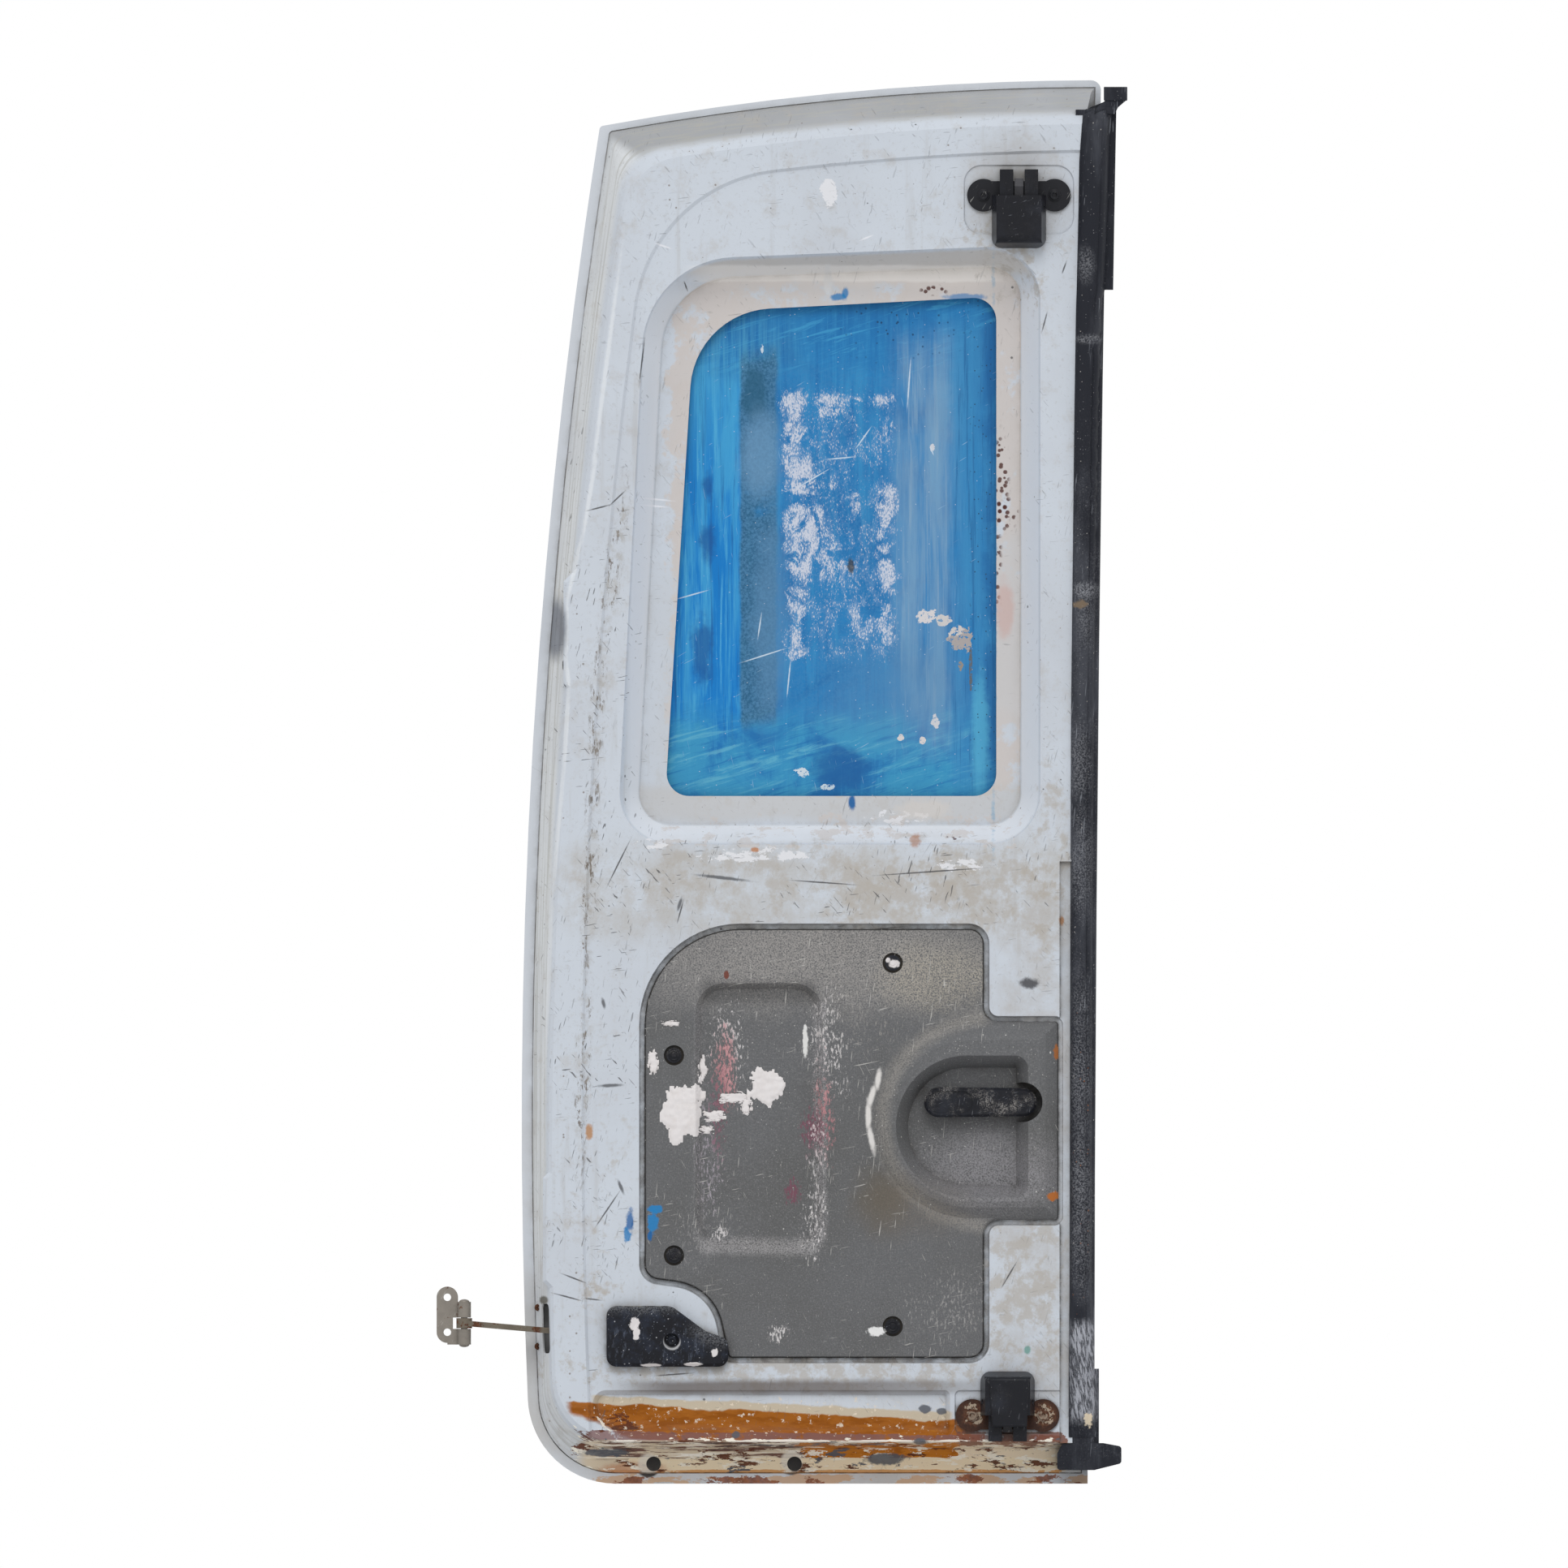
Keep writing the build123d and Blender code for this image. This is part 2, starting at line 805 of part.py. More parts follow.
with BuildPart() as window_bead:
    with BuildSketch(level(glass_back)):
        add(grown(aperture, glass_lap - bead_inset))
        add(grown(aperture, glass_lap - bead_inset - bead_width), mode=Mode.SUBTRACT)
    extrude(amount=bead_height)
finish(window_bead, "window_bead")

# Trim panel: moulded shell with the handle bezel, its dish, the pocket and the clip seats
with BuildPart() as trim_panel:
    with BuildSketch(level(ledge_floor)):
        add(grown(trim_outline, -trim_gap))
    extrude(amount=trim_rise)
    trim_crest = trim_panel.faces().sort_by(Axis.Y)[0]
    chamfer(trim_crest.outer_wire().edges(), length=trim_edge_bevel)
    with BuildSketch(level(trim_face)):
        add(grown(bezel_outline, -trim_edge_bevel))
    extrude(amount=bezel_rise, taper=bezel_draft)
    bezel_crest = trim_panel.faces().sort_by(Axis.Y)[0]
    chamfer(bezel_crest.outer_wire().edges(), length=bezel_bevel)
    with BuildSketch(level(ledge_floor)):
        add(grown(trim_outline, -trim_gap - trim_sheet))
    extrude(amount=trim_rise - trim_sheet, mode=Mode.SUBTRACT)
    with BuildSketch(level(trim_face - trim_sheet)):
        add(grown(bezel_outline, -trim_edge_bevel - trim_sheet))
    extrude(amount=bezel_rise, taper=bezel_draft, mode=Mode.SUBTRACT)
    with BuildSketch(level(bezel_face - trim_sheet)):
        add(grown(dish_outline, trim_sheet))
    extrude(amount=-dish_depth, taper=dish_draft)
    with BuildSketch(level(dish_floor - trim_sheet)):
        with Locations(pivot):
            Circle(pivot_well_radius + trim_sheet)
    extrude(amount=dish_depth)
    with BuildSketch(level(bezel_face)):
        add(dish_outline)
    extrude(amount=-dish_depth, taper=dish_draft, mode=Mode.SUBTRACT)
    with BuildSketch(level(dish_floor)):
        with Locations(pivot):
            Circle(pivot_well_radius)
    extrude(amount=dish_depth, mode=Mode.SUBTRACT)
    with BuildSketch(level(dish_floor - trim_sheet)):
        with Locations(pivot):
            Circle(spindle_radius + spindle_bore_gap)
    extrude(amount=trim_sheet, mode=Mode.SUBTRACT)
    with BuildSketch(level(trim_face - trim_sheet)):
        add(grown(pocket_outline, trim_sheet))
    extrude(amount=-pocket_depth, taper=pocket_draft)
    with BuildSketch(level(trim_face)):
        add(pocket_outline)
    extrude(amount=-pocket_depth, taper=pocket_draft, mode=Mode.SUBTRACT)
    with BuildSketch(level(ledge_floor)):
        with Locations(*clip_places):
            Rectangle(clip_boss_width, clip_boss_width)
    extrude(amount=trim_rise - clip_sink)
    with BuildSketch(level(trim_face - clip_sink)):
        with Locations(*clip_places):
            Circle(clip_bore_radius)
    extrude(amount=clip_sink, mode=Mode.SUBTRACT)
    with BuildSketch(level(ledge_floor)):
        with Locations(*clip_places):
            Rectangle(clip_stem_width + clip_clearance, clip_stem_width + clip_clearance)
    extrude(amount=trim_rise, mode=Mode.SUBTRACT)
finish(trim_panel, "trim_panel")

with BuildPart() as trim_clips:
    with BuildSketch(level(trim_face - clip_sink)):
        with Locations(*clip_places):
            Circle(clip_head_radius)
    extrude(amount=clip_head_height)
    with BuildSketch(level(trim_face - clip_sink)):
        with Locations(*clip_places):
            Rectangle(clip_stem_width, clip_stem_width)
    extrude(amount=-clip_stem_length)
finish(trim_clips, "trim_clips")

# Release handle and the carrier that its spindle turns in
lever_back = dish_floor + lever_floor_gap
carrier_foot_depth = ledge_floor - sheet
carrier_web_depth = carrier_foot_depth - carrier_drop
lever_tip = (pivot[0] - lever_length + lever_tip_radius, pivot[1])
with BuildPart() as inside_handle:
    with BuildSketch(level(lever_back)):
        with Locations(pivot):
            Circle(lever_hub_radius)
        with Locations(lever_tip):
            Circle(lever_tip_radius)
        make_hull()
    extrude(amount=lever_thickness)
    lever_front = inside_handle.faces().sort_by(Axis.Y)[0]
    chamfer(lever_front.outer_wire().edges(), length=lever_bevel)
    with BuildSketch(level(lever_back + lever_thickness)):
        with Locations((lever_tip[0] + lever_dimple_length / 2 - lever_dimple_width / 2, pivot[1])):
            SlotOverall(lever_dimple_length, lever_dimple_width)
    extrude(amount=-lever_dimple_depth, mode=Mode.SUBTRACT)
    with BuildSketch(level(carrier_web_depth - carrier_sheet)):
        with Locations(pivot):
            Circle(spindle_radius)
    extrude(amount=lever_back - carrier_web_depth + carrier_sheet)
finish(inside_handle, "inside_handle")

with BuildPart() as handle_carrier:
    with BuildSketch(Plane.YZ.offset(pivot[0] - carrier_width / 2)):
        with BuildLine():
            foot_y = origin_depth - carrier_foot_depth
            web_y = origin_depth - carrier_web_depth
            leg_high_z = dish_z + dish_radius + opening_margin + carrier_sheet
            leg_low_z = dish_z - dish_radius - opening_margin - carrier_sheet
            Polyline(
                (foot_y, leg_high_z + carrier_foot),
                (foot_y, leg_high_z),
                (web_y - carrier_sheet, leg_high_z),
                (web_y - carrier_sheet, leg_low_z),
                (foot_y, leg_low_z),
                (foot_y, leg_low_z - carrier_foot),
                (foot_y + carrier_sheet, leg_low_z - carrier_foot),
                (foot_y + carrier_sheet, leg_low_z - carrier_sheet),
                (web_y, leg_low_z - carrier_sheet),
                (web_y, leg_high_z + carrier_sheet),
                (foot_y + carrier_sheet, leg_high_z + carrier_sheet),
                (foot_y + carrier_sheet, leg_high_z + carrier_foot),
                close=True,
            )
        make_face()
    extrude(amount=carrier_width)
    with BuildSketch(level(carrier_web_depth)):
        with Locations(pivot):
            Circle(bearing_radius)
    extrude(amount=bearing_length)
    with BuildSketch(level(carrier_web_depth - carrier_sheet)):
        with Locations(pivot):
            Circle(spindle_radius + running_clearance)
    extrude(amount=bearing_length + carrier_sheet, mode=Mode.SUBTRACT)
finish(handle_carrier, "handle_carrier")


def latch(prefix, x, z, up, hood_reach):
    """One latch: plate, cover, claw and pin. Its mouth opens upwards where up is 1, downwards at -1."""
    with BuildPart() as plate:
        with BuildSketch(level(pad_depth)):
            with Locations((x, z)):
                Rectangle(ear_spacing, ear_web_height)
                with GridLocations(ear_spacing, 0, 2, 1):
                    Circle(ear_radius)
        extrude(amount=latch_plate_thickness)
    finish(plate, f"{prefix}_latch_plate")

    pivot_z = z - up * claw_pivot_back
    pivot_y = origin_depth - latch_face - claw_pivot_rise
    mouth = hood_rise * tan(radians(hood_draft))
    back_y = origin_depth - latch_face
    front_y = back_y - hood_rise
    closed_z = z - up * hood_reach
    with BuildPart() as cover:
        with BuildSketch(Plane.YZ.offset(x - hood_width / 2)) as side_view:
            with BuildLine():
                Polyline(
                    (back_y, z),
                    (back_y, closed_z),
                    (front_y, closed_z + up * mouth),
                    (front_y, z),
                    close=True,
                )
            make_face()
            nose = side_view.vertices().sort_by_distance((front_y, closed_z + up * mouth))[0]
            fillet(nose, radius=hood_nose_radius)
        extrude(amount=hood_width)
        with BuildSketch(Plane.XY.offset(closed_z)):
            with BuildLine():
                Polyline(
                    (x - hood_width / 2, back_y),
                    (x + hood_width / 2, back_y),
                    (x + hood_width / 2 - mouth + hood_bevel, front_y + hood_bevel),
                    (x + hood_width / 2 - mouth - hood_bevel, front_y),
                    (x - hood_width / 2 + mouth + hood_bevel, front_y),
                    (x - hood_width / 2 + mouth - hood_bevel, front_y + hood_bevel),
                    close=True,
                )
            make_face()
        extrude(amount=up * hood_reach, mode=Mode.INTERSECT)
        with BuildSketch(level(latch_face)):
            add(
                rounded(
                    [
                        (x - hood_width / 2, z, 0),
                        (x + hood_width / 2, z, 0),
                        (x + hood_width / 2, closed_z, hood_corner_radius),
                        (x - hood_width / 2, closed_z, hood_corner_radius),
                    ]
                )
            )
        extrude(amount=hood_rise, mode=Mode.INTERSECT)
        with BuildSketch(level(latch_face)):
            with Locations((x, z + up * (hood_open_reach - ear_web_height / 2) / 2)):
                Rectangle(cheek_width, hood_open_reach + ear_web_height / 2)
        extrude(amount=cheek_rise)
        with BuildSketch(level(latch_face)):
            with Locations((x, z + up * (hood_open_reach - chamber_depth) / 2)):
                Rectangle(chamber_width, hood_open_reach + chamber_depth)
        extrude(amount=chamber_rise, mode=Mode.SUBTRACT)
        with BuildSketch(Plane.YZ.offset(x - hood_width / 2)):
            with Locations((pivot_y, pivot_z)):
                Circle(claw_pin_radius + running_clearance)
        extrude(amount=hood_width, mode=Mode.SUBTRACT)
    finish(cover, f"{prefix}_latch_cover")

    with BuildPart() as claw:
        arm_near = pivot_y + claw_arm_width / 2
        arm_far = pivot_y - claw_arm_width / 2
        nose_z = z + up * claw_nose_reach
        hook_y = arm_near + claw_hook
        with BuildSketch(Plane.YZ.offset(x - claw_thickness / 2)):
            with BuildLine():
                Polyline(
                    (arm_near, pivot_z),
                    (arm_near, nose_z - up * claw_nose_width),
                    (hook_y, nose_z - up * claw_nose_width),
                    (hook_y, nose_z),
                    (pivot_y, nose_z),
                    (arm_far, nose_z - up * claw_arm_width),
                    (arm_far, pivot_z),
                    close=True,
                )
            make_face()
            with Locations((pivot_y, pivot_z)):
                Circle(claw_hub_radius)
                Circle(claw_pin_radius + running_clearance, mode=Mode.SUBTRACT)
        extrude(amount=claw_thickness)
    finish(claw, f"{prefix}_latch_claw")

    with BuildPart() as pin:
        with BuildSketch(Plane.YZ.offset(x - claw_pin_length / 2)):
            with Locations((pivot_y, pivot_z)):
                Circle(claw_pin_radius)
        extrude(amount=claw_pin_length)
    finish(pin, f"{prefix}_latch_pin")


latch("upper", upper_latch_x, upper_latch_z, 1, upper_hood_reach)
latch("lower", lower_latch_x, lower_latch_z, -1, lower_hood_reach)

# Meeting-edge seal and its end mouldings, cut to sit on the panel's edge
seal_form = pressing(-seal_clearance)
seal_top_z = top_z - seal_top_drop
seal_bottom_z = bottom_z + seal_bottom_rise


def edge_band(inner, outer, low_z, high_z):
    """A strip along the meeting edge between two insets and two heights."""
    with BuildSketch() as band:
        add(rim(0, 0, 0, 0, outer, top_corner_radius, low_corner_radius))
        add(rim(0, 0, 0, 0, inner, top_corner_radius, low_corner_radius), mode=Mode.SUBTRACT)
        with Locations((meeting_x, (low_z + high_z) / 2)):
            Rectangle(4 * beyond, high_z - low_z, mode=Mode.INTERSECT)
    return band.sketch


with BuildPart() as meeting_seal:
    with BuildSketch(level(seal_back_depth)):
        add(edge_band(seal_root, -seal_outreach, seal_bottom_z, seal_top_z))
    extrude(amount=seal_front_depth - seal_back_depth)
    seal_edges = meeting_seal.edges().group_by(Axis.Y)[0].sort_by(Axis.X)
    fillet(seal_edges[-1], radius=seal_fillet)
    with BuildSketch(level(seal_lip_depth)):
        add(edge_band(0, -seal_outreach - seal_lip_reach, seal_top_z - seal_top_lip_length, seal_top_z))
        add(
            edge_band(
                0,
                -seal_outreach - seal_lip_reach / 2,
                seal_bottom_z,
                seal_bottom_z + seal_bottom_lip_length,
            )
        )
    extrude(amount=seal_lip_thickness)
    add(seal_form, mode=Mode.SUBTRACT)
finish(meeting_seal, "meeting_seal")

with BuildPart() as seal_top_end:
    with BuildSketch(level(seal_back_depth)):
        add(edge_band(seal_root, -seal_outreach, seal_top_z, seal_top_z + end_cap_height))
    extrude(amount=seal_front_depth - seal_back_depth)
    with BuildSketch(level(seal_lip_depth - seal_lip_thickness)):
        add(
            edge_band(
                0,
                -seal_outreach - end_tab_reach,
                seal_top_z + end_cap_height - end_tab_lap,
                seal_top_z + end_cap_height - end_tab_lap + end_tab_height,
            )
        )
    extrude(amount=3 * seal_lip_thickness)
    add(seal_form, mode=Mode.SUBTRACT)
finish(seal_top_end, "seal_top_end")

sole_z = seal_bottom_z - end_foot_height
with BuildPart() as seal_bottom_end:
    with BuildSketch(level(seal_back_depth)):
        add(
            rounded(
                [
                    (meeting_x - end_foot_lap, sole_z, end_foot_radius),
                    (meeting_x + seal_outreach, sole_z, end_foot_radius),
                    (meeting_x + end_foot_reach, sole_z + end_foot_toe_rise, end_foot_radius),
                    (meeting_x + end_foot_reach, seal_bottom_z - end_foot_toe_drop, end_foot_radius),
                    (meeting_x + seal_outreach + seal_lip_reach, seal_bottom_z, 0),
                    (meeting_x - seal_root, seal_bottom_z, 0),
                    (meeting_x - end_foot_lap, seal_bottom_z - end_foot_shoulder, end_foot_radius),
                ]
            )
        )
    extrude(amount=seal_front_depth - seal_back_depth)
    add(seal_form, mode=Mode.SUBTRACT)
finish(seal_bottom_end, "seal_bottom_end")

# Door check: arm, guide behind the slot, bracket, pin and the moulded cover
arm_y = origin_depth - arm_depth
arm_plane = Plane(
    origin=(arm_pin[0], arm_y, arm_pin[1]),
    x_dir=(cos(radians(arm_slope)), 0, -sin(radians(arm_slope))),
    z_dir=(0, -1, 0),
)
arm_length = arm_outer_reach + arm_inner_reach
with BuildPart() as check_arm:
    with BuildSketch(arm_plane):
        with Locations((arm_length / 2, 0)):
            Rectangle(arm_length, arm_thickness)
    extrude(amount=arm_width / 2, both=True)
    with BuildSketch(arm_plane):
        with Locations((arm_length - arm_stop_length / 2, 0)):
            Rectangle(arm_stop_length, arm_stop_thickness)
    extrude(amount=arm_stop_width / 2, both=True)
    with BuildSketch(Plane.XY.offset(arm_pin[1])):
        with Locations((arm_pin[0], arm_y)):
            Circle(arm_eye_radius)
    extrude(amount=arm_eye_height / 2, both=True)
    with BuildSketch(Plane.XY.offset(arm_pin[1])):
        with Locations((arm_pin[0], arm_y)):
            Circle(check_pin_radius + running_clearance)
    extrude(amount=arm_eye_height, both=True, mode=Mode.SUBTRACT)
finish(check_arm, "check_arm")

guide_start = (arm_outer_reach + guide_setback) / cos(radians(arm_slope))
with BuildPart() as check_arm_guide:
    guide_rise = door_depth - sheet - arm_depth
    with BuildSketch(arm_plane):
        with Locations((guide_start + guide_length / 2, 0)):
            Rectangle(guide_length, arm_thickness + 2 * guide_wall)
    extrude(amount=guide_rise)
    with BuildSketch(arm_plane):
        with Locations((guide_start + guide_length / 2, 0)):
            Rectangle(guide_length, arm_thickness + 2 * guide_wall)
    extrude(amount=-arm_width / 2 - guide_wall)
    with BuildSketch(arm_plane):
        with Locations((guide_start + guide_length / 2, 0)):
            Rectangle(2 * guide_length, arm_thickness + 2 * guide_clearance)
    extrude(amount=arm_width / 2 + guide_clearance, both=True, mode=Mode.SUBTRACT)
finish(check_arm_guide, "check_arm_guide")

knuckle_start = arm_eye_height / 2 + knuckle_gap
with BuildPart() as check_bracket:
    with BuildSketch(level(arm_depth - knuckle_radius)):
        with Locations((arm_pin[0] - bracket_hole_reach, arm_pin[1] + bracket_hole_rise)):
            with GridLocations(0, bracket_hole_spacing, 1, 2):
                Circle(bracket_lobe_radius)
        make_hull()
        with Locations((arm_pin[0], arm_pin[1])):
            Rectangle(
                bracket_hole_reach,
                2 * (knuckle_start + knuckle_height),
                align=(Align.MAX, Align.CENTER),
            )
        with Locations((arm_pin[0], arm_pin[1])):
            Rectangle(
                2 * (knuckle_radius + knuckle_notch),
                2 * knuckle_start,
                mode=Mode.SUBTRACT,
            )
        with Locations((arm_pin[0] - bracket_hole_reach, arm_pin[1] + bracket_hole_rise)):
            with GridLocations(0, bracket_hole_spacing, 1, 2):
                Circle(bracket_hole_radius, mode=Mode.SUBTRACT)
    extrude(amount=bracket_sheet)
    for side in (1, -1):
        with BuildSketch(Plane.XY.offset(arm_pin[1] + side * knuckle_start)):
            with Locations((arm_pin[0], arm_y)):
                Circle(knuckle_radius)
        extrude(amount=side * knuckle_height)
    with BuildSketch(Plane.XY.offset(arm_pin[1])):
        with Locations((arm_pin[0], arm_y)):
            Circle(check_pin_radius + running_clearance)
    extrude(amount=2 * knuckle_height, both=True, mode=Mode.SUBTRACT)
finish(check_bracket, "check_bracket")

with BuildPart() as check_pin:
    pin_half = knuckle_start + knuckle_height
    with BuildSketch(Plane.XY.offset(arm_pin[1] - pin_half)):
        with Locations((arm_pin[0], arm_y)):
            Circle(check_pin_radius)
    extrude(amount=2 * pin_half)
finish(check_pin, "check_pin")

cover_left = side_x(bottom_z + check_cover_height) + check_cover_side
cover_bottom_z = bottom_z + check_cover_height
cover_top_z = cover_bottom_z + check_cover_rise
with BuildPart() as check_cover:
    with BuildSketch(level(field_depth)):
        add(
            rounded(
                [
                    (cover_left, cover_bottom_z, check_cover_corner),
                    (cover_left + check_cover_length, cover_bottom_z, check_cover_corner),
                    (cover_left + check_cover_length, cover_bottom_z + check_cover_nose, check_cover_corner),
                    (
                        cover_left + check_cover_flat + check_cover_slope_length,
                        cover_top_z - check_cover_slope_drop,
                        check_cover_shoulder,
                    ),
                    (cover_left + check_cover_flat, cover_top_z, check_cover_shoulder),
                    (cover_left, cover_top_z, check_cover_corner),
                ]
            )
        )
    extrude(amount=check_cover_thickness)
    cover_front = check_cover.faces().sort_by(Axis.Y)[0]
    chamfer(cover_front.outer_wire().edges(), length=check_cover_bevel)
    with BuildSketch(level(field_depth + check_cover_thickness)):
        with Locations((cover_left + check_cover_flat, cover_bottom_z + check_cover_screw_rise)):
            Circle(check_cover_screw_radius)
    extrude(amount=-check_cover_screw_depth, mode=Mode.SUBTRACT)
finish(check_cover, "check_cover")

# Nut plates behind the hinge pads
nut_plate_front = origin_depth - door_depth + crest_bevel + sheet
for plate_name, (pad_x, pad_z) in (("upper", upper_pad), ("lower", lower_pad)):
    with BuildPart() as nut_plate:
        with BuildSketch(Plane.YZ.offset(pad_x + sheet)):
            with Locations((nut_plate_front, pad_z)):
                Rectangle(
                    nut_plate_width,
                    hinge_bolt_spacing + 2 * nut_plate_margin,
                    align=(Align.MIN, Align.CENTER),
                )
            with Locations((0, pad_z)):
                with GridLocations(0, hinge_bolt_spacing, 1, 2):
                    Circle(tapped_radius, mode=Mode.SUBTRACT)
        extrude(amount=nut_plate_thickness)
    finish(nut_plate, f"{plate_name}_hinge_nut_plate")
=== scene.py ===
"""Looks of a van's passive rear door leaf, seen from inside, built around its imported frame.

Colours and sizes are properties, and each group of like pieces has one operator. Marks are placed
by column and row of the photograph, and their colours are written as a screen shows them.
"""

import json
import math

import bpy
from bpy.props import FloatProperty, FloatVectorProperty, PointerProperty
from mathutils import Matrix, Vector, noise


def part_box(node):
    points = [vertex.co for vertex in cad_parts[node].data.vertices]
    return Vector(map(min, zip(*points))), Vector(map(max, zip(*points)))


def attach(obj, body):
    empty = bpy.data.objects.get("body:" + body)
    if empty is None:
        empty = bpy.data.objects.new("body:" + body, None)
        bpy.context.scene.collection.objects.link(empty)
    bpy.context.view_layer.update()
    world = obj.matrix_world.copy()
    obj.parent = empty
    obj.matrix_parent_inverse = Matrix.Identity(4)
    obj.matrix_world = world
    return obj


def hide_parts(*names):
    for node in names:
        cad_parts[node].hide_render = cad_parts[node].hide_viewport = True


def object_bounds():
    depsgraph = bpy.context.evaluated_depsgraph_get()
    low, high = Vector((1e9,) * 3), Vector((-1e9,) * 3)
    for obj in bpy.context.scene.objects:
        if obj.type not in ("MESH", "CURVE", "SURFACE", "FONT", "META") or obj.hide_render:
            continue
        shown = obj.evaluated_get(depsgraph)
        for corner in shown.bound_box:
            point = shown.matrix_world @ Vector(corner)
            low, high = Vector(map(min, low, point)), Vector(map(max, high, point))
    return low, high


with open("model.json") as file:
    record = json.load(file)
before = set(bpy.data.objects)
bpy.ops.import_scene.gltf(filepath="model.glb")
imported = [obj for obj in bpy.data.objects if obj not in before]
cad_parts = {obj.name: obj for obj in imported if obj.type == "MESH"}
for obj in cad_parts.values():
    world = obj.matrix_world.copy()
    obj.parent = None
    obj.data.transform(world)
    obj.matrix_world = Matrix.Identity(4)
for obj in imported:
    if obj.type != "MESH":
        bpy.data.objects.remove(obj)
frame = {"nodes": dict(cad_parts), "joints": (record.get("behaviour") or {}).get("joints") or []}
cad_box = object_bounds()

bl_info = {
    "name": "Campervan rear door leaf",
    "version": (1, 0, 0),
    "blender": (4, 5, 0),
    "location": "3D View > Sidebar > Door",
    "description": "Finishes a worn rear door leaf around its frame",
    "category": "Object",
}

MM = 0.001
PIXEL = 0.72 * MM
ORIGIN_COLUMN = 669
ORIGIN_ROW = 1515
PICTURE_SIDE = 1932
NO_LIMIT = 20.0
RAMP_START = -0.5
RAMP_LENGTH = 2.0
ORIGIN = (0.0, 0.0, 0.0)
EVEN = (1.0, 1.0, 1.0)
QUARTER_TURN = math.radians(90)


def across(column):
    """Door X of a column of the photograph."""
    return (column - ORIGIN_COLUMN) * PIXEL


def up(row):
    """Door Z of a row of the photograph."""
    return (ORIGIN_ROW - row) * PIXEL


def linear(red, green, blue):
    """A colour as a screen shows it, 0 to 255, in the renderer's own scale."""
    values = [channel / 255 for channel in (red, green, blue)]
    return [v / 12.92 if v <= 0.04045 else ((v + 0.055) / 1.055) ** 2.4 for v in values] + [1.0]


def colour(name, description, *screen):
    """A colour property with a default written as a screen shows it."""
    return FloatVectorProperty(
        name=name,
        description=description,
        subtype="COLOR",
        size=4,
        min=0.0,
        max=1.0,
        default=linear(*screen),
    )


def length(name, description, millimetres):
    """A length property with its default in millimetres."""
    return FloatProperty(
        name=name,
        description=description,
        subtype="DISTANCE",
        unit="LENGTH",
        default=millimetres * MM,
    )


def angle(name, description, degrees):
    """An angle property with its default in degrees."""
    return FloatProperty(
        name=name, description=description, subtype="ANGLE", default=math.radians(degrees)
    )


def brightness(name, description, value):
    """A property for how bright a light is."""
    return FloatProperty(name=name, description=description, default=value)


class PaintColours(bpy.types.PropertyGroup):
    """Paint, primer and dirt on the sheet metal, and a rim colour lightened as painted light."""

    white: colour("White", "Cool white paint of the pressed panel", 201, 208, 217)
    # Painted light: the rim colour is lighter than the white paint, to offset the shade on the
    # drafted slopes.
    rim: colour("Rim", "Warmer grey of the drafted rim and the hem", 214, 217, 219)
    crest: colour("Crest", "Grey film on the walls that face up", 150, 152, 155)
    primer: colour("Primer", "Cream primer round the window", 202, 194, 189)
    dirt: colour("Dirt", "Beige road dirt on the flats", 176, 170, 162)
    grime: colour("Grime", "Dark grime in folds and scratches", 84, 84, 86)
    amber: colour("Amber", "Cavity wax along the sill", 158, 90, 8)
    amber_dark: colour("Dark amber", "Wax where it is thick", 128, 68, 6)
    cream: colour("Cream", "Old coat that shows above the wax", 196, 182, 158)
    plum: colour("Plum", "Stained band on the sill's crest", 128, 92, 88)
    tan: colour("Tan", "Sealant line on the hem", 212, 158, 102)
    bare: colour("Bare steel", "Steel where the paint is off", 92, 96, 104)
    rust: colour("Rust", "Rust in chips and seams", 104, 52, 30)
    skin: colour("Skin", "White paint of the outer skin", 204, 209, 216)


class PaneColours(bpy.types.PropertyGroup):
    """Hand-painted window."""

    blue: colour("Blue", "Main blue coat", 36, 124, 184)
    bright: colour("Bright blue", "Fresh strokes on the hinge side", 4, 122, 200)
    pale: colour("Pale blue", "Worn tops of the strokes", 70, 164, 210)
    deep: colour("Deep blue", "Second coat in the strokes", 24, 96, 158)
    smoky: colour("Smoky blue", "Thin coat over the old film", 74, 124, 160)
    haze: colour("Haze", "Milky stripe", 124, 160, 190)
    teal: colour("Teal", "Greenish strokes along the bottom", 60, 150, 190)
    scraped: colour("Scraped", "White ground where the coat is scraped off", 206, 210, 222)


class FittingColours(bpy.types.PropertyGroup):
    """Plastic, rubber and steel fittings."""

    trim: colour("Trim", "Grained grey trim", 101, 102, 104)
    dust: colour("Dust", "Pale dust on plastic", 168, 164, 160)
    chalk: colour("Chalk", "White scuffs and filler", 224, 220, 220)
    pink: colour("Pink", "Pink scuffs on the trim", 186, 128, 132)
    magenta: colour("Magenta", "Dark pink scuffs on the trim", 118, 72, 88)
    black: colour("Black", "Black plastic", 30, 31, 36)
    rubber: colour("Rubber", "Black rubber seal", 36, 38, 45)
    rubber_dust: colour("Rubber dust", "Grey bloom on the rubber", 92, 95, 103)
    steel: colour("Steel", "Dull zinc of the door check", 138, 132, 124)
    rust: colour("Rust", "Rust on steel fittings", 108, 70, 48)
    rust_dark: colour("Dark rust", "Deep rust", 62, 36, 27)


class FittingSizes(bpy.types.PropertyGroup):
    """Sizes of the small pieces."""

    screw_radius: length("Screw radius", "Head radius of the latch screws", 5.6)
    screw_height: length("Screw height", "Head height of the latch screws", 3.2)
    clip_radius: length("Clip radius", "Radius of a trim clip's centre pin", 4.6)
    pivot_radius: length("Pivot radius", "Radius of the handle's pivot cap", 6.2)
    rivet_radius: length("Rivet radius", "Radius of the check pin's heads", 4.6)
    filler_rise: length("Filler rise", "Thickness of the dried filler on the trim", 1.6)


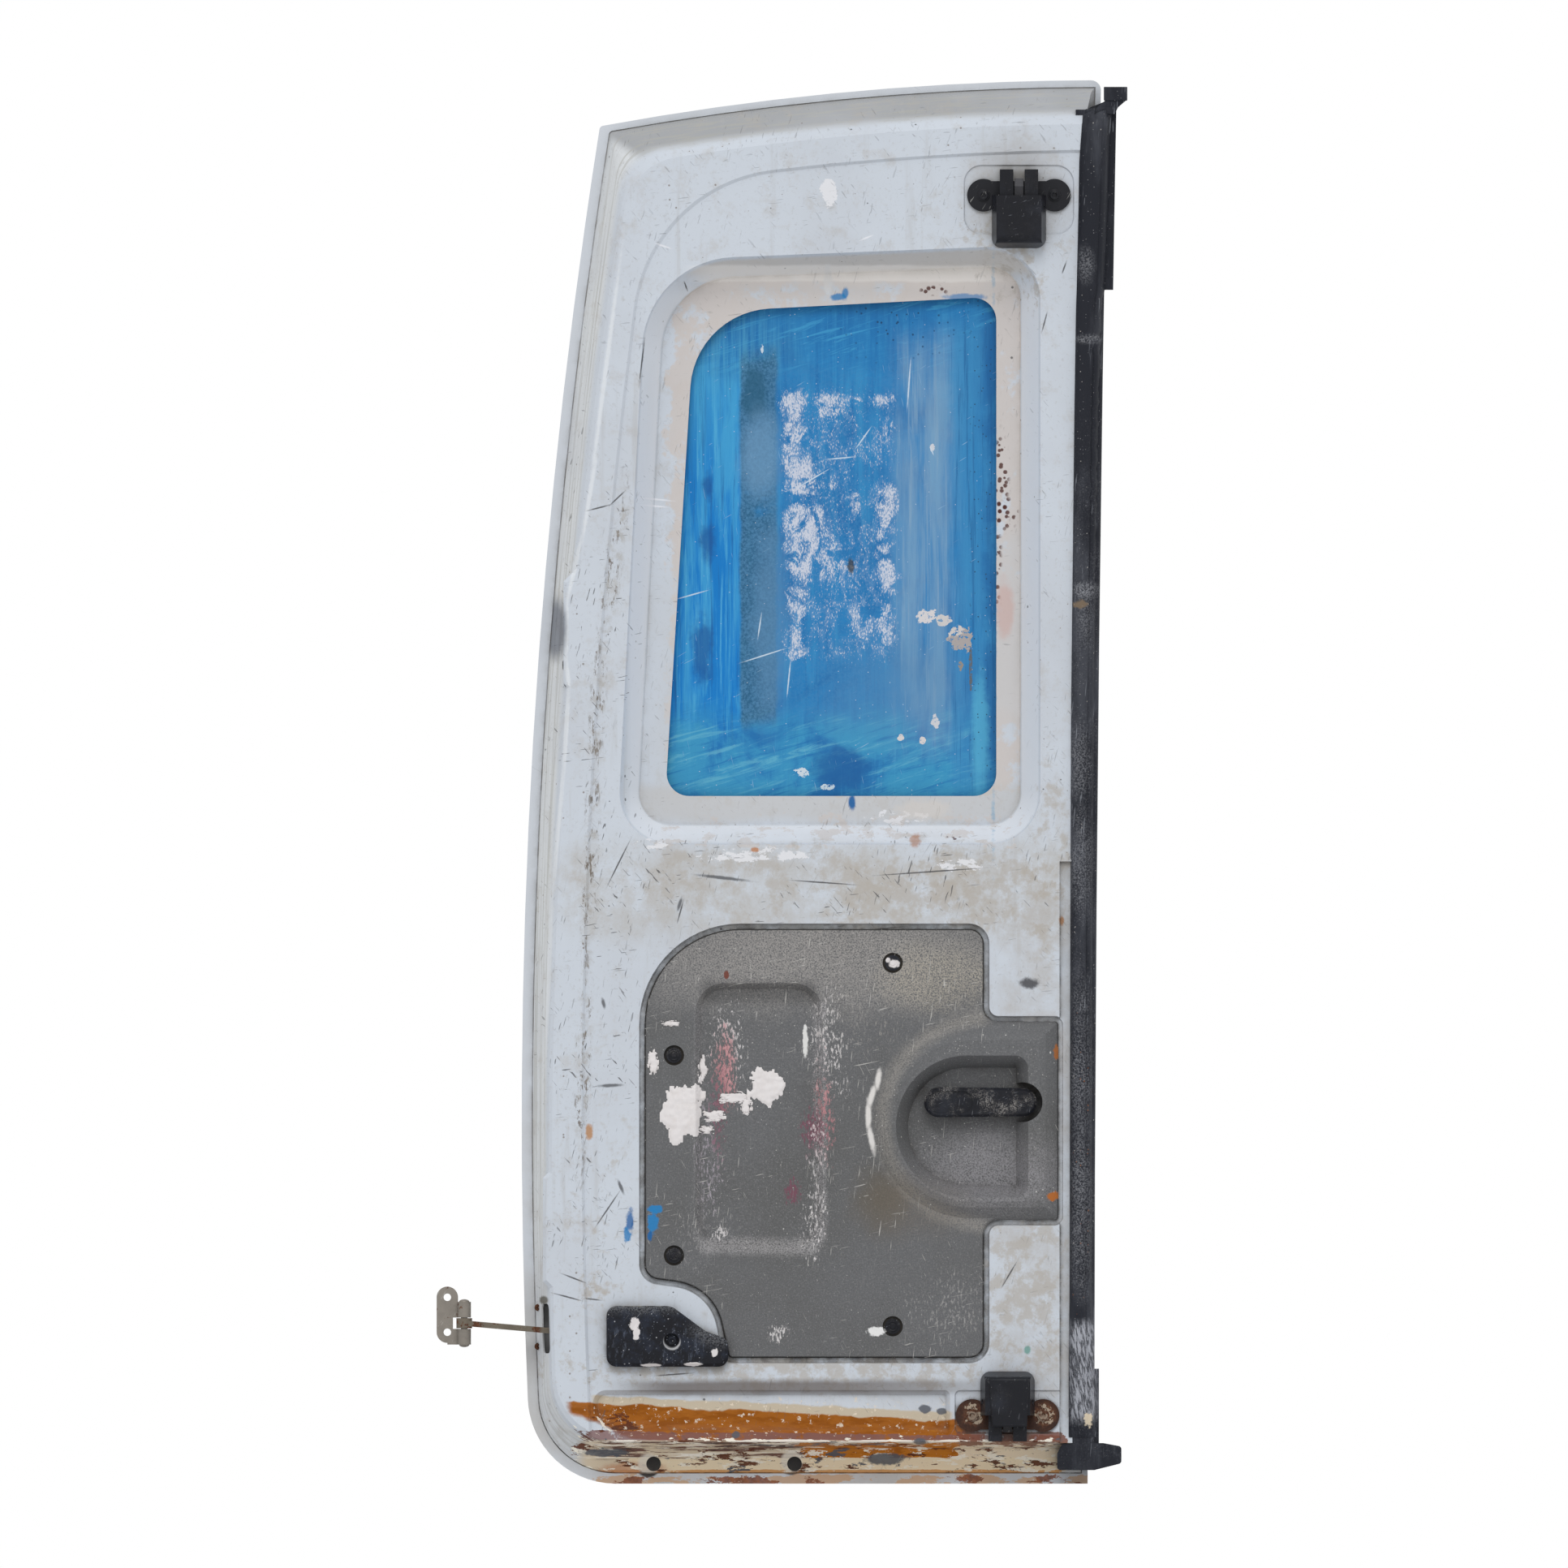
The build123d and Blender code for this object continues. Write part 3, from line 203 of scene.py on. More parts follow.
class StageSettings(bpy.types.PropertyGroup):
    """Floor and light."""

    floor: colour("Floor", "Pale floor", 226, 226, 226)
    world_strength: brightness("World", "Strength of the surrounding light", 0.76)
    sun_strength: brightness("Sun", "Strength of the upper light", 1.0)
    sun_height: angle("Sun height", "Angle of the upper light over the floor", 42)
    sun_size: angle("Sun size", "Angle that the upper light fills", 34)


class Graph:
    """Adds the nodes of one material or node group and joins them.

    Each node is made after those that feed it and takes the kind of value that they give, because
    the renderer works through a long material in that order and runs out of room if it has to wait.
    """

    def __init__(self, tree):
        self.tree = tree
        self.place = None

    def node(self, kind, inputs=None, **settings):
        """A new node with its settings, and what feeds its inputs by name or number."""
        made = self.tree.nodes.new("ShaderNode" + kind)
        for name, value in settings.items():
            setattr(made, name, value)
        for key, value in (inputs or {}).items():
            self.feed(made.inputs[key], value)
        return made

    def feed(self, socket, value):
        """Join an output to a socket, or write a value on it. Three parts are a screen colour."""
        if isinstance(value, bpy.types.NodeSocket):
            self.tree.links.new(value, socket)
        elif socket.type == "RGBA" and len(value) == 3:
            socket.default_value = linear(*value)
        elif hasattr(value, "__len__"):
            socket.default_value = list(value)
        else:
            socket.default_value = value

    def math(self, operation, first, second=0.0):
        return self.node("Math", {0: first, 1: second}, operation=operation).outputs[0]

    def both(self, first, second):
        return self.math("MULTIPLY", first, second)

    def either(self, first, second):
        return self.math("MAXIMUM", first, second)

    def outside(self, mask):
        return self.math("SUBTRACT", 1.0, mask)

    def locate(self):
        """Take the door's own coordinates as the place that the nodes read."""
        self.place = self.node("TexCoord").outputs["Object"]

    def local(self, centre, turn, size):
        """The place as seen from a centre, turned and divided by a size."""
        inputs = {"Vector": self.place, "Location": centre, "Rotation": turn, "Scale": size}
        return self.node("Mapping", inputs, vector_type="TEXTURE").outputs[0]

    def ramp(self, vector, shape):
        return self.node("TexGradient", {"Vector": vector}, gradient_type=shape).outputs["Fac"]

    def fade(self, value, low, high):
        """0 at low and 1 at high, with a soft step between, whichever is larger.

        The node's own clamp stays off: the soft step ends at 0 and 1 without it, and the renderer
        would work it out last of all and keep every value waiting.
        """
        inputs = {"Value": value, "From Min": low, "From Max": high}
        made = self.node("MapRange", inputs, interpolation_type="SMOOTHSTEP", clamp=False)
        return made.outputs["Result"]

    def where(self, mask, texture, low, high):
        """A mask cut down to where a texture has passed from low to high."""
        return self.both(mask, self.fade(texture, low, high))

    def mix(self, factor, first, second):
        return self.node("Mix", {0: factor, 6: first, 7: second}, data_type="RGBA").outputs[2]

    def level(self, factor, first, second):
        return self.node("Mix", {0: factor, 2: first, 3: second}, data_type="FLOAT").outputs[0]

    def noise(self, scale, detail=3.0, roughness=0.55, distortion=0.0, vector=None):
        inputs = {
            "Vector": vector or self.place,
            "Scale": scale,
            "Detail": detail,
            "Roughness": roughness,
            "Distortion": distortion,
        }
        return self.node("TexNoise", inputs).outputs[0]

    def cells(self, scale, feature="F1"):
        inputs = {"Vector": self.place, "Scale": scale}
        return self.node("TexVoronoi", inputs, feature=feature).outputs

    def use(self, name, **values):
        """Place a shared effect, with spaces in its socket names written as underscores."""
        inputs = {socket.replace("_", " "): value for socket, value in values.items()}
        return self.node("Group", inputs, node_tree=group(name)).outputs[0]


SOCKET_KINDS = {0: "Float", 3: "Vector", 4: "Color"}


def new_group(name, output, kind="Float", **inputs):
    """An empty node group with one output, and its inputs by name with their defaults."""
    tree = bpy.data.node_groups.new(name, "ShaderNodeTree")
    for key, value in inputs.items():
        size = len(value) if isinstance(value, tuple) else 0
        socket = tree.interface.new_socket(
            key.replace("_", " "), in_out="INPUT", socket_type="NodeSocket" + SOCKET_KINDS[size]
        )
        socket.default_value = value
    tree.interface.new_socket(output, in_out="OUTPUT", socket_type="NodeSocket" + kind)
    graph = Graph(tree)
    start = tree.nodes.new("NodeGroupInput").outputs
    end = tree.nodes.new("NodeGroupOutput").inputs[0]
    graph.locate()
    return graph, start, end


def placed_patch(name):
    """A soft or ragged oval at one place on the door, in X and Z, with its half size doubled."""
    places = {"Centre": ORIGIN, "Turn": ORIGIN, "Half_Size": EVEN}
    g, start, end = new_group(name, "Mask", **places, Softness=0.25, Ragged=0.4, Scale=60.0)
    local = g.local(start["Centre"], start["Turn"], start["Half Size"])
    reach = g.both(g.outside(g.ramp(local, "SPHERICAL")), 2.0)
    wobble = g.math("SUBTRACT", g.noise(start["Scale"], 5.0, 0.65), 0.5)
    edge = g.math("ADD", reach, g.both(g.both(wobble, 2.0), start["Ragged"]))
    outer = g.math("ADD", 1.0, start["Softness"])
    inner = g.outside(start["Softness"])
    g.feed(end, g.fade(edge, outer, inner))
    return g.tree


def broken_cover(name):
    """A mask that breaks into flakes where it is weak."""
    g, start, end = new_group(
        name, "Mask", Mask=1.0, Scale=80.0, Edge=0.06, Shift=ORIGIN, Grain=EVEN
    )
    local = g.local(start["Shift"], ORIGIN, start["Grain"])
    grain = g.fade(g.noise(start["Scale"], 6.0, 0.68, vector=local), 0.28, 0.72)
    lack = g.outside(start["Mask"])
    g.feed(end, g.fade(g.math("SUBTRACT", grain, lack), 0.0, start["Edge"]))
    return g.tree


def scratch_field(name):
    """Thin streaks that run one way, in loose clusters."""
    g, start, end = new_group(
        name, "Mask", Turn=ORIGIN, Grain=(0.001, 0.02, 0.04), Threshold=0.7, Cluster=9.0
    )
    local = g.local(ORIGIN, start["Turn"], start["Grain"])
    streak = g.noise(1.0, 1.5, vector=local, distortion=0.15)
    line = g.fade(streak, start["Threshold"], g.math("ADD", start["Threshold"], 0.035))
    g.feed(end, g.where(line, g.noise(start["Cluster"], 2.0), 0.44, 0.6))
    return g.tree


def speckle(name):
    """Scattered specks: a share of the cells has one, of about the stated size."""
    g, start, end = new_group(name, "Mask", Scale=200.0, Share=0.2, Size=0.3)
    cells = g.cells(start["Scale"])
    chance = g.node("SeparateColor", {0: cells["Color"]}).outputs
    wobble = g.both(g.noise(900.0, 2.0), 0.3)
    size = g.both(start["Size"], g.math("ADD", chance[1], 0.25))
    reach = g.both(cells["Distance"], g.math("ADD", wobble, 0.85))
    dot = g.fade(reach, size, g.both(size, 0.6))
    g.feed(end, g.both(dot, g.math("LESS_THAN", chance[0], start["Share"])))
    return g.tree


def crease_grime_and_shade(name):
    """Dirt that gathers in folds and corners, which is also painted shade there, found by ambient
    occlusion and broken up by noise.
    """
    g, start, end = new_group(name, "Mask", Reach=0.012, Scale=60.0)
    hidden = g.node("AmbientOcclusion", {"Distance": start["Reach"]}, samples=6)
    fold = g.fade(hidden.outputs["AO"], 0.92, 0.42)
    g.feed(end, g.where(fold, g.noise(start["Scale"], 5.0, 0.65), 0.3, 0.66))
    return g.tree


def leather_grain(name):
    """Height of a fine moulded grain."""
    g, start, end = new_group(name, "Height", Scale=620.0)
    cells = g.cells(start["Scale"], "SMOOTH_F1")
    fine = g.noise(g.both(start["Scale"], 2.2), 2.0)
    g.feed(end, g.level(0.35, cells["Distance"], fine))
    return g.tree


def rust_bloom(name):
    """Colour of rust, from dark pits to orange dust."""
    tones = {"Dark": (0.03, 0.014, 0.009, 1.0), "Light": (0.2, 0.07, 0.02, 1.0)}
    g, start, end = new_group(name, "Color", "Color", Scale=180.0, **tones)
    pits = g.noise(start["Scale"], 6.0, 0.7)
    g.feed(end, g.mix(g.fade(pits, 0.34, 0.66), start["Dark"], start["Light"]))
    return g.tree


GROUP_MAKERS = {
    "Placed patch": placed_patch,
    "Broken cover": broken_cover,
    "Scratch field": scratch_field,
    "Speckle": speckle,
    "Crease grime and shade": crease_grime_and_shade,
    "Leather grain": leather_grain,
    "Rust bloom": rust_bloom,
}


def group(name):
    """A shared effect, built the first time it is asked for."""
    return bpy.data.node_groups.get(name) or GROUP_MAKERS[name](name)


class Finish(Graph):
    """A material under way: its surface colour, roughness and height build up mark by mark."""

    def __init__(self, name, base, roughness, metallic=0.0, specular=0.2):
        self.material = bpy.data.materials.new(name)
        self.material.use_nodes = True
        super().__init__(self.material.node_tree)
        self.tree.nodes.clear()
        self.locate()
        self.x = self.along(ORIGIN, (1.0, 0.0, 0.0))
        self.y = self.along((0.0, 0.0, QUARTER_TURN), (0.0, 1.0, 0.0))
        self.z = self.along((0.0, -QUARTER_TURN, 0.0), (0.0, 0.0, 1.0))
        self.surface = base
        self.rough = roughness
        self.height = None
        self.metallic = metallic
        self.specular = specular

    def along(self, turn, axis):
        """One coordinate of the place, read off a long ramp."""
        start = [RAMP_START * part for part in axis]
        share = self.ramp(self.local(start, turn, (RAMP_LENGTH, 1.0, 1.0)), "LINEAR")
        return self.math("ADD", self.both(share, RAMP_LENGTH), RAMP_START)

    def by_column(self, low, high):
        """0 at one column of the photograph and 1 at another."""
        return self.fade(self.x, across(low), across(high))

    def by_row(self, low, high):
        """0 at one row of the photograph and 1 at another."""
        return self.fade(self.z, up(low), up(high))

    def by_depth(self, low, high):
        """0 at one depth in the door and 1 at another, as Y in millimetres."""
        return self.fade(self.y, low * MM, high * MM)

    def patch(self, column, row, wide, high, softness=0.3, ragged=0.5, scale=90.0, turn=0.0):
        """Mask of an oval with its half sizes, given in the photograph's pixels."""
        return self.use(
            "Placed patch",
            Centre=(across(column), 0.0, up(row)),
            Turn=(0.0, turn, 0.0),
            Half_Size=(2 * wide * PIXEL, NO_LIMIT, 2 * high * PIXEL),
            Softness=softness,
            Ragged=ragged,
            Scale=scale,
        )

    def block(self, left, right, top, bottom, soft=6.0, wobble=0.0):
        """Mask of a rectangle given in the photograph's pixels."""
        upright = self.columns(left, right, soft, wobble)
        return self.both(upright, self.band(top, bottom, soft, wobble))

    def strokes(self, lines, width=1.1):
        """Mask of scratches given as (column, row, column, row), with a half width in pixels."""
        mask = None
        for start_column, start_row, end_column, end_row in lines:
            run, rise = end_column - start_column, start_row - end_row
            line = self.patch(
                (start_column + end_column) / 2,
                (start_row + end_row) / 2,
                math.hypot(run, rise) / 2,
                width,
                softness=0.5,
                ragged=0.5,
                scale=220.0,
                turn=-math.atan2(rise, run),
            )
            mask = line if mask is None else self.either(mask, line)
        return mask

    def broken(self, mask, scale=120.0, edge=0.06, shift=ORIGIN, grain=EVEN):
        return self.use("Broken cover", Mask=mask, Scale=scale, Edge=edge, Shift=shift, Grain=grain)

    def flakes(self, mask, share, scale=120.0, edge=0.06, shift=ORIGIN, grain=EVEN):
        """A mask of which a share is left, in flakes."""
        return self.broken(self.both(mask, share), scale, edge, shift, grain)

    def scratches(self, turn, threshold, stretch=(900.0, 60.0, 26.0), cluster=9.0):
        return self.use(
            "Scratch field",
            Turn=(0.0, math.radians(turn), 0.0),
            Grain=[1 / part for part in stretch],
            Threshold=threshold,
            Cluster=cluster,
        )

    def stretched(self, x, y, z, detail=5.0, roughness=0.62, distortion=0.0, turn=0.0):
        """Noise with so many cells to the metre along each axis."""
        vector = self.local(ORIGIN, (0.0, turn, 0.0), (1 / x, 1 / y, 1 / z))
        return self.noise(1.0, detail, roughness, distortion, vector)

    def specks(self, scale, share, size):
        return self.use("Speckle", Scale=scale, Share=share, Size=size)

    # Grime in creases and corners that is also painted shade, found by ambient occlusion.
    def grime(self, reach, scale=60.0):
        return self.use("Crease grime and shade", Reach=reach, Scale=scale)

    def rust(self, dark, light, scale=180.0):
        return self.use("Rust bloom", Scale=scale, Dark=dark, Light=light)

    def grain(self, scale):
        return self.use("Leather grain", Scale=scale)

    def waving(self, place, scale, wobble):
        """A coordinate that waves to and fro by so many pixels."""
        wave = self.math("SUBTRACT", self.noise(scale, 4.0, 0.6), 0.5)
        return self.math("ADD", place, self.both(wave, 2 * wobble * PIXEL))

    def band(self, top, bottom, soft=1.5, wobble=0.0, slope=0.0):
        """Mask between two rows of the photograph, with a waving edge that may slope."""
        height = self.waving(self.z, 26.0, wobble)
        if slope:
            height = self.math("ADD", height, self.both(self.x, slope))
        below = self.fade(height, up(top - soft), up(top + soft))
        return self.where(below, height, up(bottom + soft), up(bottom - soft))

    def columns(self, left, right, soft=6.0, wobble=0.0):
        """Mask between two columns of the photograph, with a waving edge."""
        place = self.waving(self.x, 40.0, wobble)
        after = self.fade(place, across(left - soft), across(left + soft))
        return self.where(after, place, across(right + soft), across(right - soft))

    def zone(self, rows, columns, slope=0.0):
        """Mask of a field between rows and between columns, each with its own edges."""
        lying = self.band(*rows, slope=slope)
        return self.both(lying, self.columns(*columns))

    def coat(self, mask, tint, strength, roughness=None):
        """Lay a colour over the surface through a mask."""
        cover = self.both(mask, strength)
        self.surface = self.mix(cover, self.surface, tint)
        if roughness is not None:
            self.rough = self.level(cover, self.rough, roughness)

    def raise_by(self, mask, amount):
        """Add a share of a mask to the surface's height."""
        step = self.both(mask, amount)
        self.height = step if self.height is None else self.math("ADD", self.height, step)

    def done(self, bump=0.3, reach=0.001, **plain):
        """Close the material with its shader. Plain values go on the shader's own sockets."""
        inputs = {
            "Base Color": self.surface,
            "Roughness": self.rough,
            "Metallic": self.metallic,
            "Specular IOR Level": self.specular,
        }
        for name, value in plain.items():
            inputs[name.replace("_", " ")] = value
        if self.height is not None:
            relief = {"Strength": bump, "Distance": reach, "Height": self.height}
            inputs["Normal"] = self.node("Bump", relief).outputs["Normal"]
        shader = self.node("BsdfPrincipled", inputs)
        self.node("OutputMaterial", {"Surface": shader.outputs["BSDF"]})
        return self.material


DRAIN_HOLES = ((799, 1804), (975, 1801))


def panel_paint(paint, pane):
    """Worn white paint of the pressed panel, with its primer, wax, chips and dirt, and painted
    light on its drafted rim and in its window recess.
    """
    f = Finish("panel paint", paint.white, 0.42, specular=0.08)
    window = f.block(773, 1297, 296, 1040, 6)
    deep = f.by_depth(-6.0, 4.0)
    rim = f.both(deep, f.outside(window))
    # Painted light: the drafted rim and the hem take the lighter rim colour, which offsets their
    # shade.
    f.coat(rim, paint.rim, 0.9)
    corner = f.ramp(
        f.local((across(735), 0.0, up(170)), (0.0, math.radians(-58), 0.0), (0.012, 1.0, 1.0)),
        "EASING",
    )
    f.coat(f.both(rim, f.both(corner, f.by_row(300, 240))), paint.crest, 0.85)
    stripes = f.stretched(26.0, 420.0, 4.0, 3.0)
    f.coat(f.where(rim, stripes, 0.48, 0.62), (170, 170, 164), 0.55)
    cloud = f.noise(5.0, 4.0, 0.6)
    f.coat(f.fade(cloud, 0.42, 0.7), (186, 190, 197), 0.5)
    fine_cloud = f.noise(38.0, 6.0, 0.7)
    f.coat(f.fade(fine_cloud, 0.52, 0.7), paint.dirt, 0.34)
    sprinkle = f.noise(300.0, 4.0, 0.65)
    f.coat(f.fade(sprinkle, 0.56, 0.7), (170, 170, 170), 0.34)
    runs = f.stretched(70.0, 40.0, 5.0, 4.0, 0.6)
    f.coat(f.fade(runs, 0.58, 0.74), (178, 178, 178), 0.4)

    floor = f.both(f.by_depth(21.5, 24.0), window)
    border = f.block(816, 1262, 300, 980, 6, 6)
    thin = f.outside(f.both(f.by_column(835, 822), 0.5))
    primed = f.both(f.both(border, floor), thin)
    f.coat(f.flakes(primed, 0.95, 26.0, 0.3), paint.primer, 0.85)
    f.coat(f.where(floor, cloud, 0.46, 0.6), (198, 202, 206), 0.4)
    f.coat(f.both(floor, f.band(970, 1012, 10, 10)), (190, 186, 181), 0.5)
    # Painted light: the side and bottom walls of the window recess are lightened to offset their
    # shade.
    walls = f.both(window, f.both(f.by_depth(-9.5, -5.0), f.by_depth(23.5, 20.5)))
    f.coat(f.both(walls, f.by_row(330, 372)), (222, 226, 232), 0.85)
    # Painted light: the primer just under the recess's top wall is lightened against the shadow
    # that wall casts.
    f.coat(f.both(floor, f.band(296, 352, 8, 6)), (220, 213, 208), 0.6)
    upper_wall = f.both(f.band(296, 338, 8, 4), f.both(window, f.by_depth(-8.0, -2.0)))
    f.coat(upper_wall, (198, 191, 182), 0.7)
    # Painted light: a pale band low on the recess's top wall lightens its shade.
    f.coat(f.both(window, f.zone((327, 347, 2, 3), (860, 1230, 24))), (236, 233, 230), 0.6)
    reveal_low = f.zone((1000, 1046, 6, 12), (800, 1270, 14))
    f.coat(f.flakes(reveal_low, 0.42, 46.0, 0.2), paint.primer, 0.6)

    f.coat(
        f.where(f.block(690, 1330, 1044, 1152, 26, 20), fine_cloud, 0.3, 0.6), (176, 171, 163), 0.5
    )
    f.coat(
        f.where(f.block(1226, 1330, 1100, 1720, 26, 20), fine_cloud, 0.3, 0.6), (176, 171, 166), 0.4
    )
    for *spot, share, scale in (
        (1020, 1092, 340, 66, 0.62, 40.0), (1165, 1100, 150, 56, 0.8, 60.0),
        (1262, 330, 60, 70, 0.55, 90.0), (1262, 1600, 60, 130, 0.78, 70.0),
        (960, 1690, 330, 26, 0.8, 80.0), (735, 1480, 70, 260, 0.36, 60.0),
        (1292, 1060, 30, 150, 0.6, 60.0), (1240, 270, 60, 60, 0.6, 120.0),
        (745, 1600, 40, 90, 0.5, 60.0),
    ):
        dirty = f.both(f.patch(*spot, 0.6, 0.5, 24.0), share)
        f.coat(f.broken(dirty, scale, 0.5), paint.dirt, 0.66)
    for *spot, share in (
        (945, 1053, 52, 10, 0.7), (880, 1056, 22, 6, 0.6), (1021, 238, 9, 18, 0.86),
        (1112, 1006, 44, 8, 0.55), (1190, 1066, 46, 9, 0.5), (800, 1040, 24, 9, 0.5),
    ):
        smear = f.both(f.patch(*spot, 0.4, 0.6, 60.0), share)
        f.coat(f.broken(smear, 130.0, 0.12, grain=(1.8, 1.0, 1.0)), (224, 225, 229), 0.9)

    f.raise_by(f.noise(420.0, 2.0), 0.05)
    sill_wax(f, paint)
    sill_chips(f, paint)
    panel_marks(f, paint, pane)
    return f.done(0.35, 0.0012)


def sill_wax(f, paint):
    """Cavity wax and the coats round it along the sill, with painted shade under the sill's top and
    a painted highlight on its crest.
    """
    shade = f.zone((1701, 1717, 5, 3), (780, 1190, 50))
    f.coat(f.both(shade, f.level(f.by_column(1000, 1180), 1.0, 0.7)), (106, 99, 95), 0.85)
    cream = f.zone((1717, 1746, 1.5, 7), (730, 1172, 4, 4), slope=0.045)
    f.coat(cream, paint.cream, 0.92)
    corner_cut = f.band(1000, 1727, 3, 10, slope=0.42)
    wax = f.both(f.zone((1727, 1768, 1.2, 8), (702, 1196, 5, 10), slope=0.045), corner_cut)
    f.coat(wax, paint.amber, 0.97, 0.3)
    drips = f.stretched(34.0, 60.0, 120.0, 6.0, 0.68)
    f.coat(f.where(wax, drips, 0.46, 0.62), paint.amber_dark, 0.6)
    f.coat(f.where(wax, drips, 0.44, 0.32), (192, 124, 34), 0.6)
    plum = f.zone((1762, 1775, 2, 3), (716, 1306, 10), slope=0.01)
    f.coat(f.flakes(plum, 0.95, 60.0, 0.3), paint.plum, 0.85)
    base = f.zone((1775, 1814, 1.5, 2), (716, 1312, 10, 10))
    f.coat(base, (218, 202, 176), 0.94)
    left_coat = f.zone((1776, 1798, 2, 5), (730, 1000, 30, 20))
    streaks = f.stretched(9.0, 60.0, 210.0, 6.0, 0.7, 0.4)
    f.coat(f.where(left_coat, streaks, 0.5, 0.53), (112, 78, 70), 0.95)
    f.coat(f.where(left_coat, streaks, 0.44, 0.41), (250, 246, 238), 0.9)
    f.coat(f.where(left_coat, streaks, 0.565, 0.58), (58, 46, 44), 0.95)
    low_wax = f.zone((1777, 1798, 2, 6), (985, 1190, 24, 20))
    film = f.flakes(low_wax, 0.92, 34.0, 0.08)
    f.coat(film, (190, 114, 16), 0.97, 0.3)
    f.coat(f.where(film, drips, 0.5, 0.62), (150, 82, 14), 0.7)
    stained = f.zone((1763, 1782, 2, 3), (1180, 1312, 10, 10))
    f.coat(f.flakes(stained, 0.9, 50.0, 0.1), (124, 76, 60), 0.9)
    peeled = f.zone((1780, 1802, 2, 6), (1176, 1312, 10, 14))
    f.coat(f.flakes(peeled, 0.72, 60.0, 0.06), (236, 220, 194), 0.94)
    foot = f.zone((1796, 1813, 1.5, 3), (775, 1312, 20))
    f.coat(f.flakes(foot, 0.9, 40.0, 0.1, grain=(2.2, 1.0, 1.0)), (240, 224, 194), 0.94)
    hem = f.zone((1811, 1819, 0.8, 1.5), (740, 1300, 30))
    f.coat(f.flakes(hem, 0.97, 50.0, 0.1), paint.tan, 0.96)
    # Painted highlight along the sill's crest.
    crest = f.zone((1774, 1777.5, 0.8, 2), (740, 1200, 14))
    f.coat(f.flakes(crest, 0.62, 60.0, 0.06, grain=(4.0, 1.0, 1.0)), (236, 230, 220), 0.9)
    f.coat(f.patch(778, 1812, 40, 10, 0.3, 0.5, 80.0), (196, 140, 104), 0.7)


def sill_chips(f, paint):
    """Flaked paint, bare steel and rust below the sill's crest."""
    long_way = (2.6, 1.0, 0.9)
    zone = f.zone((1770, 1814, 4, 8), (704, 1312, 20))
    corner = f.patch(750, 1768, 46, 26, 0.3, 0.6, 60.0)
    worn = f.either(zone, corner)
    rust = f.rust(paint.rust, (136, 74, 40), 240.0)
    dark = f.flakes(worn, 0.29, 96.0, 0.025, grain=long_way)
    f.coat(dark, f.mix(0.55, rust, (64, 36, 30)), 0.95)
    pale = f.flakes(worn, 0.3, 120.0, 0.025, (3.1, 0.7, 1.9), long_way)
    f.coat(pale, (246, 240, 226), 0.95)
    bare = f.flakes(worn, 0.19, 64.0, 0.025, (7.3, 2.2, 4.4), long_way)
    f.coat(bare, paint.bare, 0.95)
    edge = f.zone((1818, 1832, 1, 2), (700, 1330, 10))
    f.coat(f.flakes(edge, 0.62, 60.0, 0.2, grain=(3.0, 1.0, 1.0)), (206, 180, 150), 0.7)
    f.coat(f.flakes(edge, 0.36, 70.0, 0.05, (3.1, 0.7, 1.9), long_way), rust, 0.9)
    f.raise_by(pale, 0.5)
    f.raise_by(dark, -0.55)
    inside = f.zone((1722, 1770, 4, 6), (720, 1190, 20))
    nicks = f.flakes(inside, 0.16, 210.0, 0.03, (7.3, 2.2, 4.4))
    f.coat(nicks, (226, 214, 196), 0.85)
    for spot in (
        (1140, 1736, 7, 5), (1160, 1739, 6, 4), (907, 1768, 5, 4), (1134, 1776, 8, 4),
        (1092, 1798, 24, 7), (746, 1790, 26, 5),
    ):
        f.coat(f.patch(*spot, 0.2, 0.7, 110.0), paint.bare, 0.92)
    for column, row in DRAIN_HOLES:
        f.coat(f.patch(column, row, 13, 13, 0.2, 0.2, 130.0), (232, 226, 214), 0.8)


